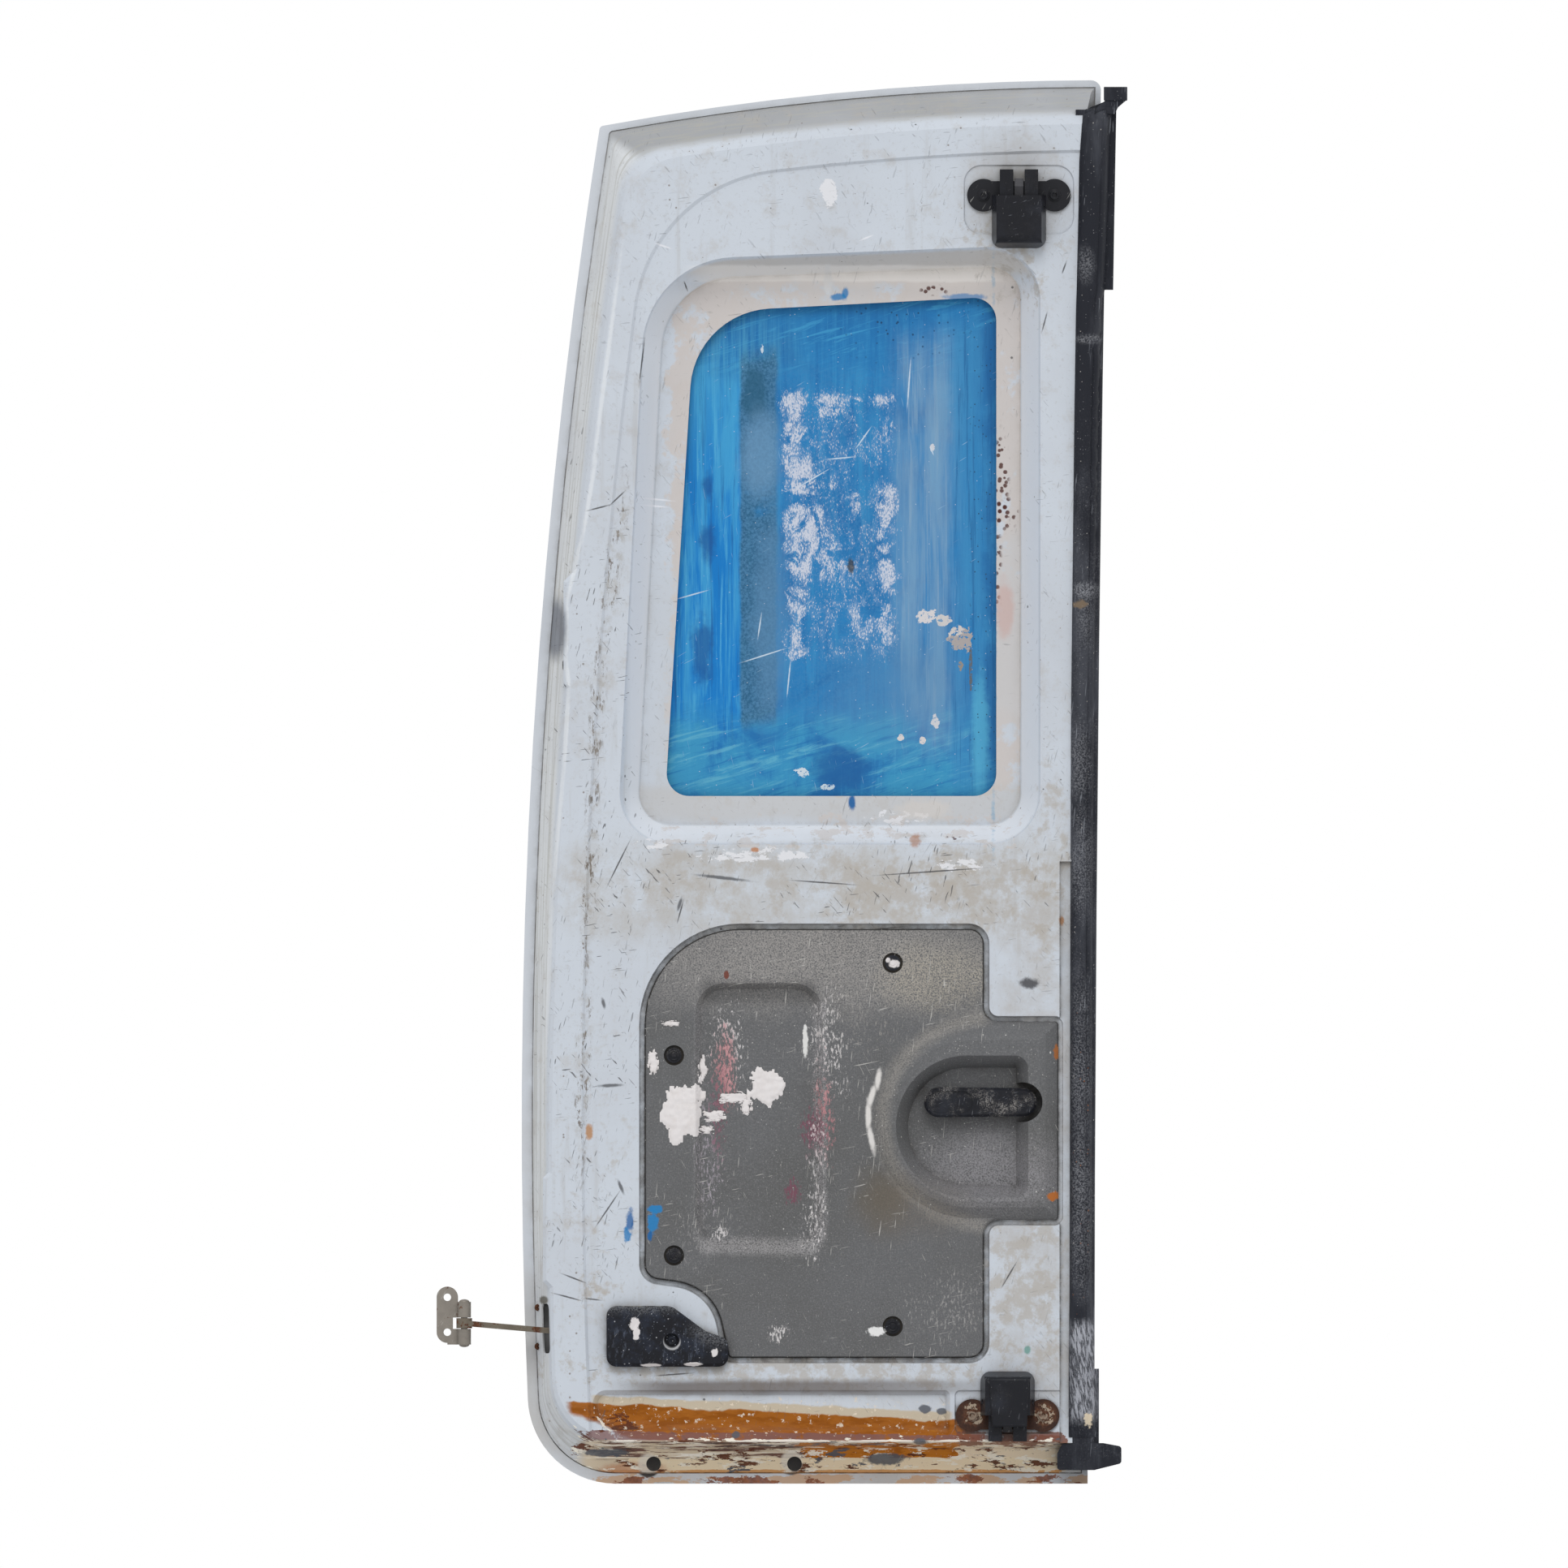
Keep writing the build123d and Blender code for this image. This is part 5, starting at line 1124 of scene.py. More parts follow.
def seal_rubber(colours):
    """Old rubber with a grey bloom, white rubbings and drag marks."""
    f = Finish("seal rubber", colours.rubber, 0.58, 0.0, 0.12)
    bloom = f.stretched(30.0, 30.0, 8.0, 5.0, 0.62)
    f.coat(f.fade(bloom, 0.46, 0.72), colours.rubber_dust, 0.42, 0.75)
    fine = f.noise(620.0, 5.0, 0.72)
    dusted = f.where(f.fade(f.noise(24.0, 4.0, 0.6), 0.4, 0.62), fine, 0.48, 0.66)
    f.coat(f.both(dusted, f.band(560, 1800, 120)), (112, 114, 120), 0.36)
    f.coat(f.scratches(4.0, 0.66, (640.0, 200.0, 40.0), 16.0), (140, 144, 152), 0.5, 0.7)
    for *spot, share in (
        (1338, 727, 12, 8, 0.9), (1338, 760, 10, 30, 0.5), (1330, 940, 12, 40, 0.6),
        (1333, 1060, 12, 60, 0.5), (1330, 1330, 12, 120, 0.5), (1333, 1500, 12, 80, 0.5),
        (1338, 326, 9, 18, 0.6), (1340, 418, 14, 5, 0.8),
    ):
        rub = f.both(f.patch(*spot, 0.7, 0.7, 40.0), share)
        f.coat(f.where(rub, fine, 0.4, 0.64), (156, 158, 164), 0.7)
    worn = f.block(1318, 1349, 1632, 1748, 9, 10)
    f.coat(f.where(worn, fine, 0.3, 0.56), (98, 100, 106), 0.75)
    drag = f.stretched(560.0, 90.0, 90.0, 5.0, 0.7, 0.4, math.radians(-9))
    f.coat(f.where(worn, drag, 0.44, 0.58), (178, 181, 190), 0.8)
    f.coat(f.patch(1341, 1750, 6, 8, 0.15, 1.2, 150.0), (222, 208, 184), 0.95)
    f.coat(f.patch(1331, 745, 8, 5, 0.3, 1.2, 150.0), (120, 104, 86), 0.9)
    f.coat(f.specks(170.0, 0.3, 0.13), (164, 160, 156), 0.75)
    f.coat(f.specks(420.0, 0.36, 0.2), (140, 140, 142), 0.6)
    rusty = f.both(f.patch(1330, 1440, 16, 160, 0.7, 0.3), f.specks(300.0, 0.2, 0.24))
    f.coat(rusty, (150, 92, 50), 0.8)
    f.raise_by(f.noise(160.0, 4.0, 0.6), 0.5)
    return f.done(0.35, 0.001)


def worn_steel(name, colours, base, rust_share, roughness=0.4, metallic=0.85):
    """Steel with a dull plating that is lost to rust in places."""
    f = Finish(name, base, roughness, metallic)
    f.coat(
        f.fade(f.noise(60.0, 4.0), 0.4, 0.7), [channel * 0.7 for channel in base[:3]] + [1.0], 0.6
    )
    f.coat(f.scratches(30.0, 0.68, (900.0, 400.0, 90.0), 40.0), (206, 206, 202), 0.4)
    rust = f.broken(rust_share, 110.0, 0.12)
    f.coat(rust, f.rust(colours.rust_dark, colours.rust, 420.0), 0.95, 0.85)
    f.metallic = f.level(rust, metallic, 0.0)
    f.raise_by(rust, 0.5)
    f.raise_by(f.noise(900.0, 3.0), 0.2)
    return f.done(0.3, 0.0004)


EAR_SPOTS = ((1199, 1743), (1287, 1743))


def rusted_ears(colours):
    """Rust of the lower latch's plate, dark at its rim, with a pale ring round each screw that is
    chalky rust and a painted highlight.
    """
    f = Finish("latch rust", (56, 42, 36), 0.6)
    f.coat(
        f.fade(f.noise(120.0, 5.0, 0.7), 0.3, 0.56),
        f.rust(colours.rust_dark, colours.rust, 360.0),
        0.95,
    )
    rim = None
    for column, row in EAR_SPOTS:
        inner = f.patch(column, row, 14, 14, 0.2, 0.4, 150.0)
        rim = inner if rim is None else f.either(rim, inner)
    f.coat(f.outside(rim), (54, 34, 27), 0.75)
    # A pale ring round each screw: chalky rust with a painted highlight.
    for column, row in EAR_SPOTS:
        ring = f.both(f.patch(column, row, 13, 13, 0.5, 0.5, 120.0), 0.56)
        f.coat(f.broken(ring, 210.0, 0.12), (182, 166, 146), 0.85)
    f.raise_by(f.noise(500.0, 4.0, 0.7), 0.5)
    return f.done(0.4, 0.0006)


def plain_finish(name, base, roughness, mottle):
    """A small piece's finish: its colour with a fine mottle and a soft relief."""
    f = Finish(name, base, roughness)
    f.coat(f.fade(f.noise(120.0, 5.0, 0.65), 0.42, 0.7), mottle, 0.6)
    f.raise_by(f.noise(500.0, 4.0, 0.6), 0.6)
    return f.done(0.35, 0.0005)


SMOOTH_ANGLE = math.radians(38)
BEVEL_ANGLE = math.radians(40)
FRONT = Vector((0.0, -1.0, 0.0))
STRAIGHT = 0.9
VIEWER_Y = -0.2
FAR_BEHIND = 0.03


def dress(material, *nodes):
    """Give CAD nodes their finish."""
    for node in nodes:
        mesh = frame["nodes"][node].data
        mesh.materials.clear()
        mesh.materials.append(material)


def keep(piece, name, material, body):
    """Name a finished piece, give it its finish and put it on its body."""
    piece.name = name
    piece.data.name = name
    piece.data.materials.clear()
    piece.data.materials.append(material)
    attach(piece, body)


def begin(primitive, **settings):
    """Add one primitive, alone in the selection, and return its object."""
    bpy.ops.object.select_all(action="DESELECT")
    primitive(**settings)
    return bpy.context.object


def pick_faces(piece, test):
    """Go into edit mode with the faces selected that pass a test."""
    bpy.context.view_layer.objects.active = piece
    bpy.ops.object.mode_set(mode="EDIT")
    bpy.ops.mesh.select_mode(type="FACE")
    bpy.ops.mesh.select_all(action="DESELECT")
    bpy.ops.object.mode_set(mode="OBJECT")
    for polygon in piece.data.polygons:
        polygon.select = test(polygon)
    bpy.ops.object.mode_set(mode="EDIT")


def leave_edit():
    bpy.ops.object.mode_set(mode="OBJECT")


def settle(piece):
    """Put a piece's place into its mesh and shade it smooth up to a crease."""
    bpy.ops.object.select_all(action="DESELECT")
    piece.select_set(True)
    bpy.context.view_layer.objects.active = piece
    bpy.ops.object.transform_apply(location=True, rotation=True, scale=True)
    bpy.ops.object.shade_smooth_by_angle(angle=SMOOTH_ANGLE)


def modify(piece, kind, **settings):
    """Add a modifier to a piece and apply it."""
    bpy.context.view_layer.objects.active = piece
    made = piece.modifiers.new(kind.title(), kind)
    for name, value in settings.items():
        setattr(made, name, value)
    bpy.ops.object.modifier_apply(modifier=made.name)


def close_up(piece, edge, segments=2):
    """Leave edit mode, round the sharp edges and settle the piece."""
    leave_edit()
    modify(
        piece,
        "BEVEL",
        width=edge,
        segments=segments,
        limit_method="ANGLE",
        angle_limit=BEVEL_ANGLE,
    )
    settle(piece)


def extrude(x, y, z):
    """Draw the selected faces out by so much."""
    bpy.ops.mesh.extrude_region_move(TRANSFORM_OT_translate={"value": (x, y, z)})


def step(rim, rise):
    """Inset the selected face by a rim and bring it towards the viewer."""
    bpy.ops.mesh.inset(thickness=rim)
    extrude(0.0, -rise, 0.0)


def copy_to(piece, offset):
    """A copy of a finished piece with its own mesh, moved by an offset."""
    twin = piece.copy()
    twin.data = piece.data.copy()
    twin.data.transform(Matrix.Translation(offset))
    bpy.context.scene.collection.objects.link(twin)
    return twin


def lay_on(node, x, z, missing=None):
    """Y of the surface that the viewer sees of a node at a place, or a given Y where none is."""
    start, ahead = Vector((x, VIEWER_Y, z)), Vector((0.0, 1.0, 0.0))
    hit, place, _, _ = frame["nodes"][node].ray_cast(start, ahead)
    if hit:
        return place.y
    if missing is None:
        raise RuntimeError(f"{node} has no surface at {x:.4f}, {z:.4f}")
    return missing


def facing_front(polygon):
    return polygon.normal.dot(FRONT) > STRAIGHT


def facing_down(polygon):
    return polygon.normal.z < -STRAIGHT


def disc(sides, radius, depth, middle=0.0):
    """A disc that looks at the viewer, in edit mode with its front face selected."""
    made = begin(
        bpy.ops.mesh.primitive_cylinder_add,
        vertices=sides,
        radius=radius,
        depth=depth,
        location=(0.0, middle, 0.0),
        rotation=(QUARTER_TURN, 0.0, 0.0),
    )
    settle(made)
    pick_faces(made, facing_front)
    return made


def box_between(left, right, top, bottom, back, front):
    """A box between its limits, in edit mode with its lower face selected."""
    made = begin(
        bpy.ops.mesh.primitive_cube_add,
        size=1.0,
        location=((left + right) / 2, (back + front) / 2, (top + bottom) / 2),
        scale=(right - left, back - front, top - bottom),
    )
    settle(made)
    pick_faces(made, facing_down)
    return made


HEAD_SIDES = 36
FLANGE_SHARE = 0.35
FLANGE_RIM = 0.28
SOCKET_RIM = 0.34
SOCKET_DEPTH = 0.5
HEAD_EDGE = 0.08


def screw_head(radius, height):
    """A screw with a flanged head at the origin, facing the viewer, with a socket in it."""
    flange = height * FLANGE_SHARE
    head = disc(HEAD_SIDES, radius, flange, -flange / 2)
    step(radius * FLANGE_RIM, height - flange)
    step(radius * SOCKET_RIM, -height * SOCKET_DEPTH)
    close_up(head, radius * HEAD_EDGE)
    return head


class DOOR_OT_sheet_metal(bpy.types.Operator):
    """Paint the pressed inner panel and the outer skin"""

    bl_idname = "door.sheet_metal"
    bl_label = "Sheet metal"

    def execute(self, context):
        scene = context.scene
        dress(panel_paint(scene.door_paint, scene.door_pane), "inner_panel")
        dress(skin_paint(scene.door_paint), "outer_skin")
        zinc = worn_steel("zinc steel", scene.door_fittings, linear(150, 152, 154), 0.2)
        dress(zinc, "handle_carrier", "check_arm_guide")
        dress(zinc, "upper_hinge_nut_plate", "lower_hinge_nut_plate")
        return {"FINISHED"}


class DOOR_OT_window(bpy.types.Operator):
    """Paint the window pane by hand and lay its bead"""

    bl_idname = "door.window"
    bl_label = "Window"

    def execute(self, context):
        dress(pane_paint(context.scene.door_pane), "window_glass")
        dress(plain_finish("bead rubber", (24, 24, 26), 0.6, (40, 40, 42)), "window_bead")
        return {"FINISHED"}


CHALKED_CLIP = ((1101, 1188, 6, 5), (1094, 1183, 3, 3))


class DOOR_OT_trim(bpy.types.Operator):
    """Finish the trim panel, its clips and the dried filler on it"""

    bl_idname = "door.trim"
    bl_label = "Trim panel"

    def execute(self, context):
        scene = context.scene
        colours = scene.door_fittings
        dress(trim_plastic(colours, scene.door_pane), "trim_panel")
        clip = black_plastic("clip plastic", colours, 0.25, CHALKED_CLIP)
        dress(clip, "trim_clips")
        clip_pins(scene.door_sizes, clip)
        filler_splats(scene.door_sizes, colours)
        return {"FINISHED"}


CLIP_SPOTS = ((116.21, 154.6), (116.21, -23.0), (310.28, 236.6), (310.28, -85.8))
PIN_SIDES = 32
PIN_HEIGHT = 1.2 * MM
PIN_RIM = 0.9 * MM
PIN_DIP = 0.7 * MM
BUTTON_RIM = 1.4 * MM
BUTTON_RISE = 0.5 * MM
PIN_EDGE = 0.25 * MM


def clip_pins(sizes, material):
    """The push pin in the middle of each trim clip, with a button in a dip."""
    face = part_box("trim_clips")[0].y
    pin = disc(PIN_SIDES, sizes.clip_radius, PIN_HEIGHT, face - PIN_HEIGHT / 2)
    step(PIN_RIM, -PIN_DIP)
    step(BUTTON_RIM, BUTTON_RISE)
    close_up(pin, PIN_EDGE)
    for number, (x, z) in enumerate(CLIP_SPOTS, 1):
        twin = copy_to(pin, Vector((x * MM, 0.0, z * MM)))
        keep(twin, f"clip_pin_{number}", material, "door")
    bpy.data.objects.remove(pin)


# Each cake of filler: column, row, half width and half height, and how torn its edge is.
FILLER = (
    (838, 1372, 22, 33, 0.5), (852, 1352, 14, 14, 0.5), (944, 1339, 19, 21, 0.5),
    (903, 1352, 14, 6, 0.9), (880, 1376, 12, 6, 0.9), (866, 1318, 5, 15, 0.8),
    (805, 1308, 6, 13, 0.7), (826, 1261, 9, 3, 0.8), (920, 1364, 6, 9, 0.9), (870, 1392, 8, 4, 0.9),
)
FILLER_CELLS = 46
FILLER_SPREAD = 1.25
COARSE_TEAR = 1.6
FINE_TEAR = 5.0
FINE_SHARE = 0.6
EDGE_STEEPNESS = 3.0
LUMPS_PER_METRE = 220.0
FLAT_SHARE = 0.72
LUMP_SHARE = 0.4
FILLER_SINK = 0.1 * MM
FILLER_WALL = 0.4 * MM


def filler_splats(sizes, colours):
    """Dried filler daubed on the trim: flat cakes with torn edges and a lumpy face."""
    material = plain_finish("dried filler", colours.chalk, 0.7, (214, 208, 206))
    for number, (column, row, wide, high, tear) in enumerate(FILLER):
        cake = begin(
            bpy.ops.mesh.primitive_grid_add,
            x_subdivisions=FILLER_CELLS,
            y_subdivisions=FILLER_CELLS,
            size=2.0,
        )
        shift = Vector((number * 3.7, 1.3, number * 1.9))
        reach = {}
        for vertex in cake.data.vertices:
            u, v = vertex.co.x * FILLER_SPREAD, vertex.co.y * FILLER_SPREAD
            x, z = across(column + u * wide), up(row - v * high)
            coarse = noise.noise(Vector((u * COARSE_TEAR, v * COARSE_TEAR, 0.0)) + shift)
            fine = noise.noise(Vector((u * FINE_TEAR, v * FINE_TEAR, 2.0)) + shift)
            edge = math.hypot(u, v) + tear * coarse + FINE_SHARE * tear * fine
            lump = noise.noise(Vector((x * LUMPS_PER_METRE, 0.0, z * LUMPS_PER_METRE)))
            rise = sizes.filler_rise * min(1.0, max(0.0, (1.0 - edge) * EDGE_STEEPNESS)) ** 0.5
            rise *= FLAT_SHARE + LUMP_SHARE * lump
            reach[vertex.index] = edge
            vertex.co = (x, lay_on("trim_panel", x, z) - rise + FILLER_SINK, z)
        pick_faces(cake, lambda polygon: min(reach[i] for i in polygon.vertices) > 1.0)
        bpy.ops.mesh.delete(type="FACE")
        leave_edit()
        modify(cake, "SMOOTH", iterations=2, factor=0.4)
        modify(cake, "SOLIDIFY", thickness=FILLER_WALL, offset=0.0)
        settle(cake)
        keep(cake, f"filler_splat_{number + 1}", material, "door")


PIVOT_CAP_HEIGHT = 1.4 * MM


class DOOR_OT_handle(bpy.types.Operator):
    """Finish the release handle and set its pivot cap"""

    bl_idname = "door.handle"
    bl_label = "Handle"

    def execute(self, context):
        scene = context.scene
        plastic = black_plastic("handle plastic", scene.door_fittings, 0.85)
        dress(plastic, "inside_handle")
        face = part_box("inside_handle")[0].y
        joint = next(j for j in frame["joints"] if j["name"] == "handle_turn")
        pivot = Vector(joint["pos_m"])
        cap = screw_head(scene.door_sizes.pivot_radius, PIVOT_CAP_HEIGHT)
        cap.data.transform(Matrix.Translation(Vector((pivot.x, face, pivot.z))))
        keep(cap, "handle_pivot_cap", plastic, "handle")
        return {"FINISHED"}


class DOOR_OT_latches(bpy.types.Operator):
    """Finish both latches, drive their screws and set the lower hood's strap"""

    bl_idname = "door.latches"
    bl_label = "Latches"

    def execute(self, context):
        colours, sizes = context.scene.door_fittings, context.scene.door_sizes
        cover = black_plastic("latch cover plastic", colours, 0.04)
        claw = worn_steel("claw steel", colours, linear(66, 66, 70), 0.1, 0.4, 0.2)
        black = worn_steel("latch paint", colours, colours.black, 0.02, 0.42, 0.0)
        rusted = rusted_ears(colours)
        screw = screw_head(sizes.screw_radius, sizes.screw_height)
        rusty = worn_steel("latch screw rust", colours, linear(150, 132, 116), 0.5, 0.6, 0.0)
        for prefix, plate, head, slot in (
            ("upper", black, black, "latch_paint"),
            ("lower", rusted, rusty, "latch_rust"),
        ):
            dress(cover, f"{prefix}_latch_cover")
            dress(plate, f"{prefix}_latch_plate")
            dress(claw, f"{prefix}_latch_claw", f"{prefix}_latch_pin")
            low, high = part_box(f"{prefix}_latch_plate")
            radius = (high.z - low.z) / 2
            for side, x in (("hinge", low.x + radius), ("meeting", high.x - radius)):
                twin = copy_to(screw, Vector((x, low.y, low.z + radius)))
                keep(twin, f"{prefix}_latch_screw_{side}", head, "door")
        bpy.data.objects.remove(screw)
        latch_strap(cover)
        return {"FINISHED"}


STRAP_BACK = -34.3 * MM
STRAP_FRONT = -37.4 * MM
STRAP_TAPER = 0.88
STRAP_LEAN = 2.0 * MM
STRAP_EDGE = 1.2 * MM


def latch_strap(material):
    """Front strap of the lower latch's hood, which draws in towards its foot."""
    left, right, top, bottom = across(1219), across(1268), up(1699), up(1758)
    strap = box_between(left, right, top, bottom, STRAP_BACK, STRAP_FRONT)
    bpy.ops.transform.resize(
        value=(STRAP_TAPER, 1.0, 1.0),
        center_override=((left + right) / 2 + STRAP_LEAN, STRAP_FRONT, bottom),
    )
    close_up(strap, STRAP_EDGE, 3)
    keep(strap, "lower_latch_strap", material, "door")


class DOOR_OT_seal(bpy.types.Operator):
    """Model the rubber seal's bulb and top cap on the meeting edge and finish its core and foot"""

    bl_idname = "door.seal"
    bl_label = "Seal"

    def execute(self, context):
        rubber = seal_rubber(context.scene.door_fittings)
        dress(rubber, "meeting_seal", "seal_top_end", "seal_bottom_end")
        seal_bulb(rubber)
        seal_cap(rubber)
        return {"FINISHED"}


# The bulb's left and right column at rows from the top to the bottom.
SEAL_EDGES = (
    (100, 1338, 1373), (134, 1335, 1371), (170, 1332, 1368), (200, 1330, 1367), (260, 1329, 1365),
    (350, 1327, 1361), (380, 1326, 1357), (510, 1324, 1353), (690, 1322, 1350), (870, 1320, 1348),
    (1140, 1319, 1346), (1590, 1318, 1345), (1680, 1317, 1348), (1800, 1317, 1352),
)
# How far the bulb swells at shares of its width.
BULB_SHAPE = (
    (0.0, 0.0), (0.08, 0.72), (0.2, 0.95), (0.45, 1.0), (0.66, 0.84), (0.72, 0.62), (0.8, 0.66),
    (0.92, 0.42), (1.0, 0.0),
)
BULB_CARRIERS = ("inner_panel", "meeting_seal", "seal_bottom_end", "outer_skin")
BULB_ACROSS = 18
BULB_ALONG = 300
BULB_TOP_ROW = 121
BULB_TOP_SLOPE = 15
BULB_BOTTOM_ROW = 1771
BULB_CROWN = -14.8 * MM
BULB_LIFT = 0.4 * MM
BULB_WALL = 0.35 * MM
BULB_WAVE = 0.5 * MM
END_STEEPNESS = 60.0
TORN_FROM_ROW = 352
TORN_TO_ROW = 760
TORN_PIXELS = 2.6


def between(table, value, part):
    """A column of a table of steps, read between its rows."""
    for first, second in zip(table, table[1:]):
        if value <= second[0]:
            share = max(0.0, (value - first[0]) / (second[0] - first[0]))
            return first[part] + share * (second[part] - first[part])
    return table[-1][part]


def seal_bulb(material):
    """The seal's round face, laid over the panel's edge and the core, with a torn outer lip."""
    bulb = begin(
        bpy.ops.mesh.primitive_grid_add,
        x_subdivisions=BULB_ACROSS,
        y_subdivisions=BULB_ALONG,
        size=2.0,
    )
    for vertex in bulb.data.vertices:
        share, drop = (vertex.co.x + 1) / 2, (1 - vertex.co.y) / 2
        top = BULB_TOP_ROW + BULB_TOP_SLOPE * (1 - share)
        row = top + drop * (BULB_BOTTOM_ROW - top)
        left, right = between(SEAL_EDGES, row, 1), between(SEAL_EDGES, row, 2)
        if TORN_FROM_ROW < row < TORN_TO_ROW:
            right += noise.noise(Vector((row * 0.11, 3.0, 0.0))) * TORN_PIXELS
        x, z = across(left + share * (right - left)), up(row)
        rest = min(lay_on(node, x, z, FAR_BEHIND) for node in BULB_CARRIERS) - BULB_LIFT
        ends = min(1.0, drop * END_STEEPNESS, (1.0 - drop) * END_STEEPNESS)
        swell = between(BULB_SHAPE, share, 1) * ends
        crown = BULB_CROWN + BULB_WAVE * noise.noise(Vector((share * 2.0, row * 0.03, 1.0)))
        vertex.co = (x, min(rest, rest + (crown - rest) * swell), z)
    modify(bulb, "SOLIDIFY", thickness=BULB_WALL, offset=0.0)
    settle(bulb)
    keep(bulb, "seal_bulb", material, "door")


CAP_BACK = 11.0 * MM
CAP_FRONT = -3.0 * MM
CAP_RIM = 1.2 * MM
CAP_EDGE = 1.6 * MM
NECK_STEPS = ((-7.0, 0.0, -6.0), (-3.0, -2.0, -6.0))


def seal_cap(material):
    """The moulded block on the seal's top end, with its neck."""
    cap = box_between(across(1360), across(1389), up(107), up(124), CAP_BACK, CAP_FRONT)
    bpy.ops.mesh.inset(thickness=CAP_RIM)
    for x, y, z in NECK_STEPS:
        extrude(x * MM, y * MM, z * MM)
    close_up(cap, CAP_EDGE, 3)
    keep(cap, "seal_top_cap", material, "door")
    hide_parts("seal_top_end")


COVER_SCREW_SPOT = (828, 1652)
COVER_SCREW_SHARE = 0.9
COVER_SCREW_HEIGHT = 3.0 * MM
BOLT_COLUMN = 663
BOLT_ROWS = {"upper": 1611, "lower": 1659}
BOLT_RADIUS = 3.2 * MM
BOLT_HEIGHT = 2.6 * MM


class DOOR_OT_check(bpy.types.Operator):
    """Finish the door check, its bracket, rivet heads, bolts and cover"""

    bl_idname = "door.check"
    bl_label = "Door check"

    def execute(self, context):
        colours, sizes = context.scene.door_fittings, context.scene.door_sizes
        steel = worn_steel("check steel", colours, colours.steel, 0.14, 0.45, 0.4)
        greased = worn_steel("check arm steel", colours, linear(112, 104, 92), 0.4, 0.5, 0.3)
        dress(greased, "check_arm", "check_pin")
        dress(steel, "check_bracket")
        cover = cover_plastic(colours)
        dress(cover, "check_cover")
        rivet_heads(sizes.rivet_radius, steel)
        screw = screw_head(sizes.screw_radius * COVER_SCREW_SHARE, COVER_SCREW_HEIGHT)
        x, z = across(COVER_SCREW_SPOT[0]), up(COVER_SCREW_SPOT[1])
        screw.data.transform(Matrix.Translation(Vector((x, lay_on("check_cover", x, z), z))))
        keep(screw, "check_cover_screw", cover, "door")
        rusted = worn_steel("check bolt rust", colours, linear(86, 70, 58), 0.7, 0.6, 0.2)
        bolt = screw_head(BOLT_RADIUS, BOLT_HEIGHT)
        for name, row in BOLT_ROWS.items():
            x, z = across(BOLT_COLUMN), up(row)
            twin = copy_to(bolt, Vector((x, lay_on("inner_panel", x, z), z)))
            keep(twin, f"check_bolt_{name}", rusted, "door")
        bpy.data.objects.remove(bolt)
        return {"FINISHED"}


RIVET_FLATNESS = 0.5


def rivet_heads(radius, material):
    """A domed head on each end of the check's pin."""
    low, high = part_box("check_pin")
    middle = (low + high) / 2
    for name, end, turn in (("upper", high.z, 0.0), ("lower", low.z, math.pi)):
        head = begin(
            bpy.ops.mesh.primitive_uv_sphere_add, segments=28, ring_count=14, radius=radius
        )
        bpy.ops.object.mode_set(mode="EDIT")
        bpy.ops.mesh.select_all(action="SELECT")
        bpy.ops.mesh.bisect(
            plane_co=ORIGIN, plane_no=(0.0, 0.0, 1.0), use_fill=True, clear_inner=True
        )
        leave_edit()
        head.scale = (1.0, 1.0, RIVET_FLATNESS)
        head.rotation_euler = (turn, 0.0, 0.0)
        head.location = (middle.x, middle.y, end)
        settle(head)
        keep(head, f"check_rivet_{name}", material, "bracket")


FLOOR_SIDE = 8.0
FLOOR_MIDDLE_X = 0.2
FLOOR_GAP = 4.0 * MM
CAMERA_Y = -4.0


class DOOR_OT_stage(bpy.types.Operator):
    """Lay the floor, set the lights and the camera"""

    bl_idname = "door.stage"
    bl_label = "Stage"

    def execute(self, context):
        scene = context.scene
        stage = scene.door_stage
        place = (FLOOR_MIDDLE_X, 0.0, cad_box[0].z - FLOOR_GAP)
        floor = begin(bpy.ops.mesh.primitive_plane_add, size=FLOOR_SIDE, location=place)
        settle(floor)
        floor.name = "floor"
        f = Finish("floor", stage.floor, 0.7)
        f.coat(f.noise(2.0, 2.0), (232, 232, 232), 0.3)
        floor.data.materials.append(f.done())
        surround(scene, stage.world_strength)
        lamp = bpy.data.lights.new("sun", "SUN")
        lamp.energy = stage.sun_strength
        lamp.angle = stage.sun_size
        holder = bpy.data.objects.new("sun", lamp)
        holder.rotation_euler = (QUARTER_TURN - stage.sun_height, 0.0, 0.0)
        scene.collection.objects.link(holder)
        camera = bpy.data.cameras.new("camera")
        camera.type = "ORTHO"
        camera.ortho_scale = PICTURE_SIDE * PIXEL
        eye = bpy.data.objects.new("camera", camera)
        eye.location = (across(PICTURE_SIDE / 2), CAMERA_Y, up(PICTURE_SIDE / 2))
        eye.rotation_euler = (QUARTER_TURN, 0.0, 0.0)
        scene.collection.objects.link(eye)
        scene.camera = eye
        scene.view_settings.view_transform = "Standard"
        return {"FINISHED"}


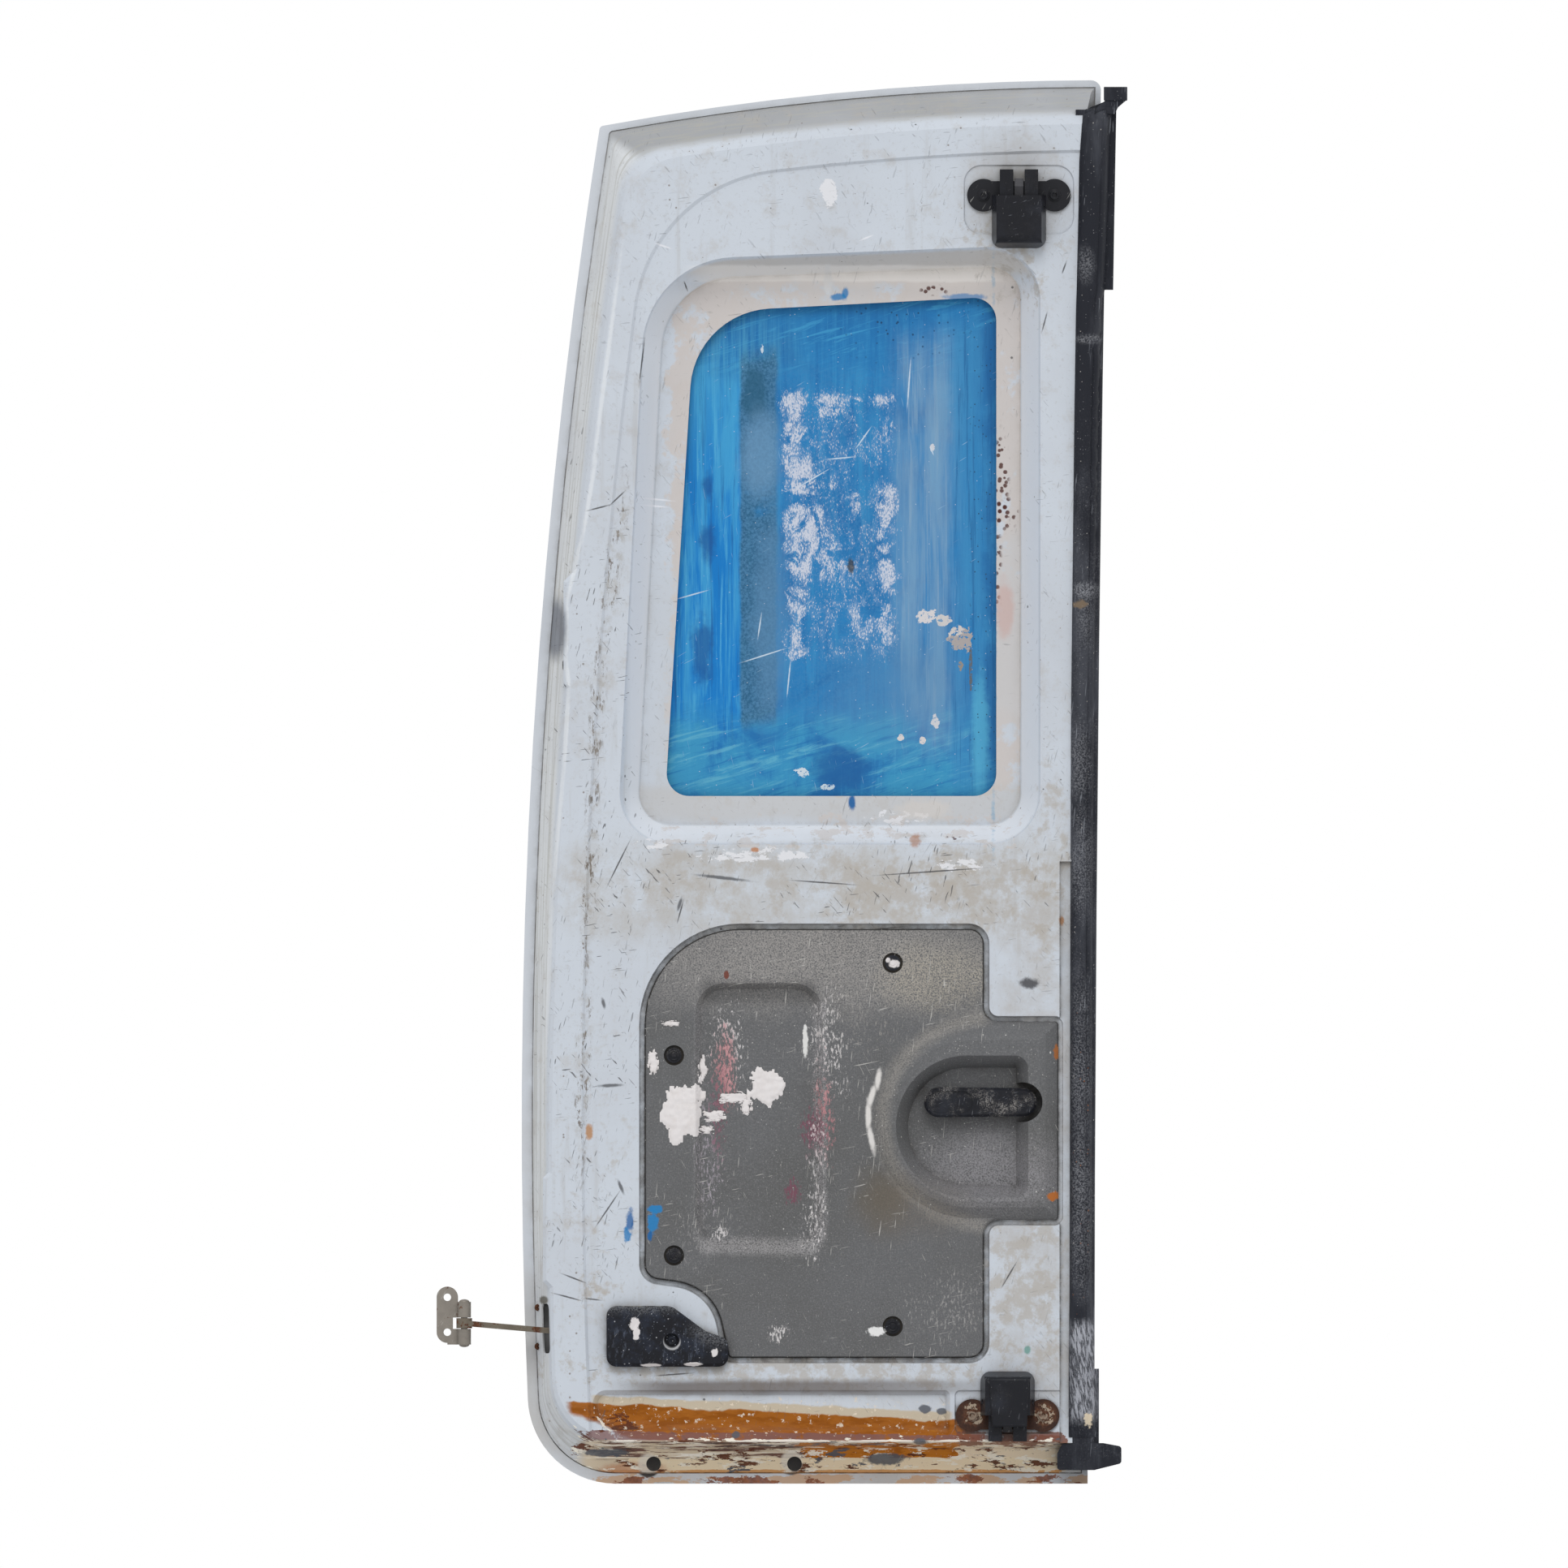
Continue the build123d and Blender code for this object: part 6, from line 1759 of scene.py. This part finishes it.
def surround(scene, level):
    """A soft even world that the camera and reflections see as white."""
    scene.world = bpy.data.worlds.new("studio")
    scene.world.use_nodes = True
    g = Graph(scene.world.node_tree)
    g.tree.nodes.clear()
    path = g.node("LightPath").outputs
    seen = g.math("ADD", path["Is Camera Ray"], path["Is Glossy Ray"])
    seen = g.math("MINIMUM", g.math("ADD", seen, path["Is Transmission Ray"]), 1.0)
    white = (1.0, 1.0, 1.0, 1.0)
    lit = g.node("Background", {"Color": white, "Strength": level})
    backdrop = g.node("Background", {"Color": white, "Strength": 1.0})
    mix = g.node("MixShader", {0: seen, 1: lit.outputs[0], 2: backdrop.outputs[0]})
    g.node("OutputWorld", {"Surface": mix.outputs[0]})


OPERATORS = (
    DOOR_OT_sheet_metal,
    DOOR_OT_window,
    DOOR_OT_trim,
    DOOR_OT_handle,
    DOOR_OT_latches,
    DOOR_OT_seal,
    DOOR_OT_check,
    DOOR_OT_stage,
)


class DOOR_PT_panel(bpy.types.Panel):
    """Sidebar list of the door's operators"""

    bl_idname = "DOOR_PT_panel"
    bl_label = "Rear door leaf"
    bl_space_type = "VIEW_3D"
    bl_region_type = "UI"
    bl_category = "Door"

    def draw(self, context):
        for operator in OPERATORS:
            self.layout.operator(operator.bl_idname)


SETTINGS = (
    ("door_paint", PaintColours),
    ("door_pane", PaneColours),
    ("door_fittings", FittingColours),
    ("door_sizes", FittingSizes),
    ("door_stage", StageSettings),
)


def register():
    for name, kind in SETTINGS:
        bpy.utils.register_class(kind)
        setattr(bpy.types.Scene, name, PointerProperty(type=kind))
    for kind in (*OPERATORS, DOOR_PT_panel):
        bpy.utils.register_class(kind)


def unregister():
    for kind in reversed((*OPERATORS, DOOR_PT_panel)):
        bpy.utils.unregister_class(kind)
    for name, kind in reversed(SETTINGS):
        delattr(bpy.types.Scene, name)
        bpy.utils.unregister_class(kind)


def main():
    register()
    bpy.ops.door.sheet_metal()
    bpy.ops.door.window()
    bpy.ops.door.trim()
    bpy.ops.door.handle()
    bpy.ops.door.latches()
    bpy.ops.door.seal()
    bpy.ops.door.check()
    bpy.ops.door.stage()


if __name__ == "__main__":
    main()
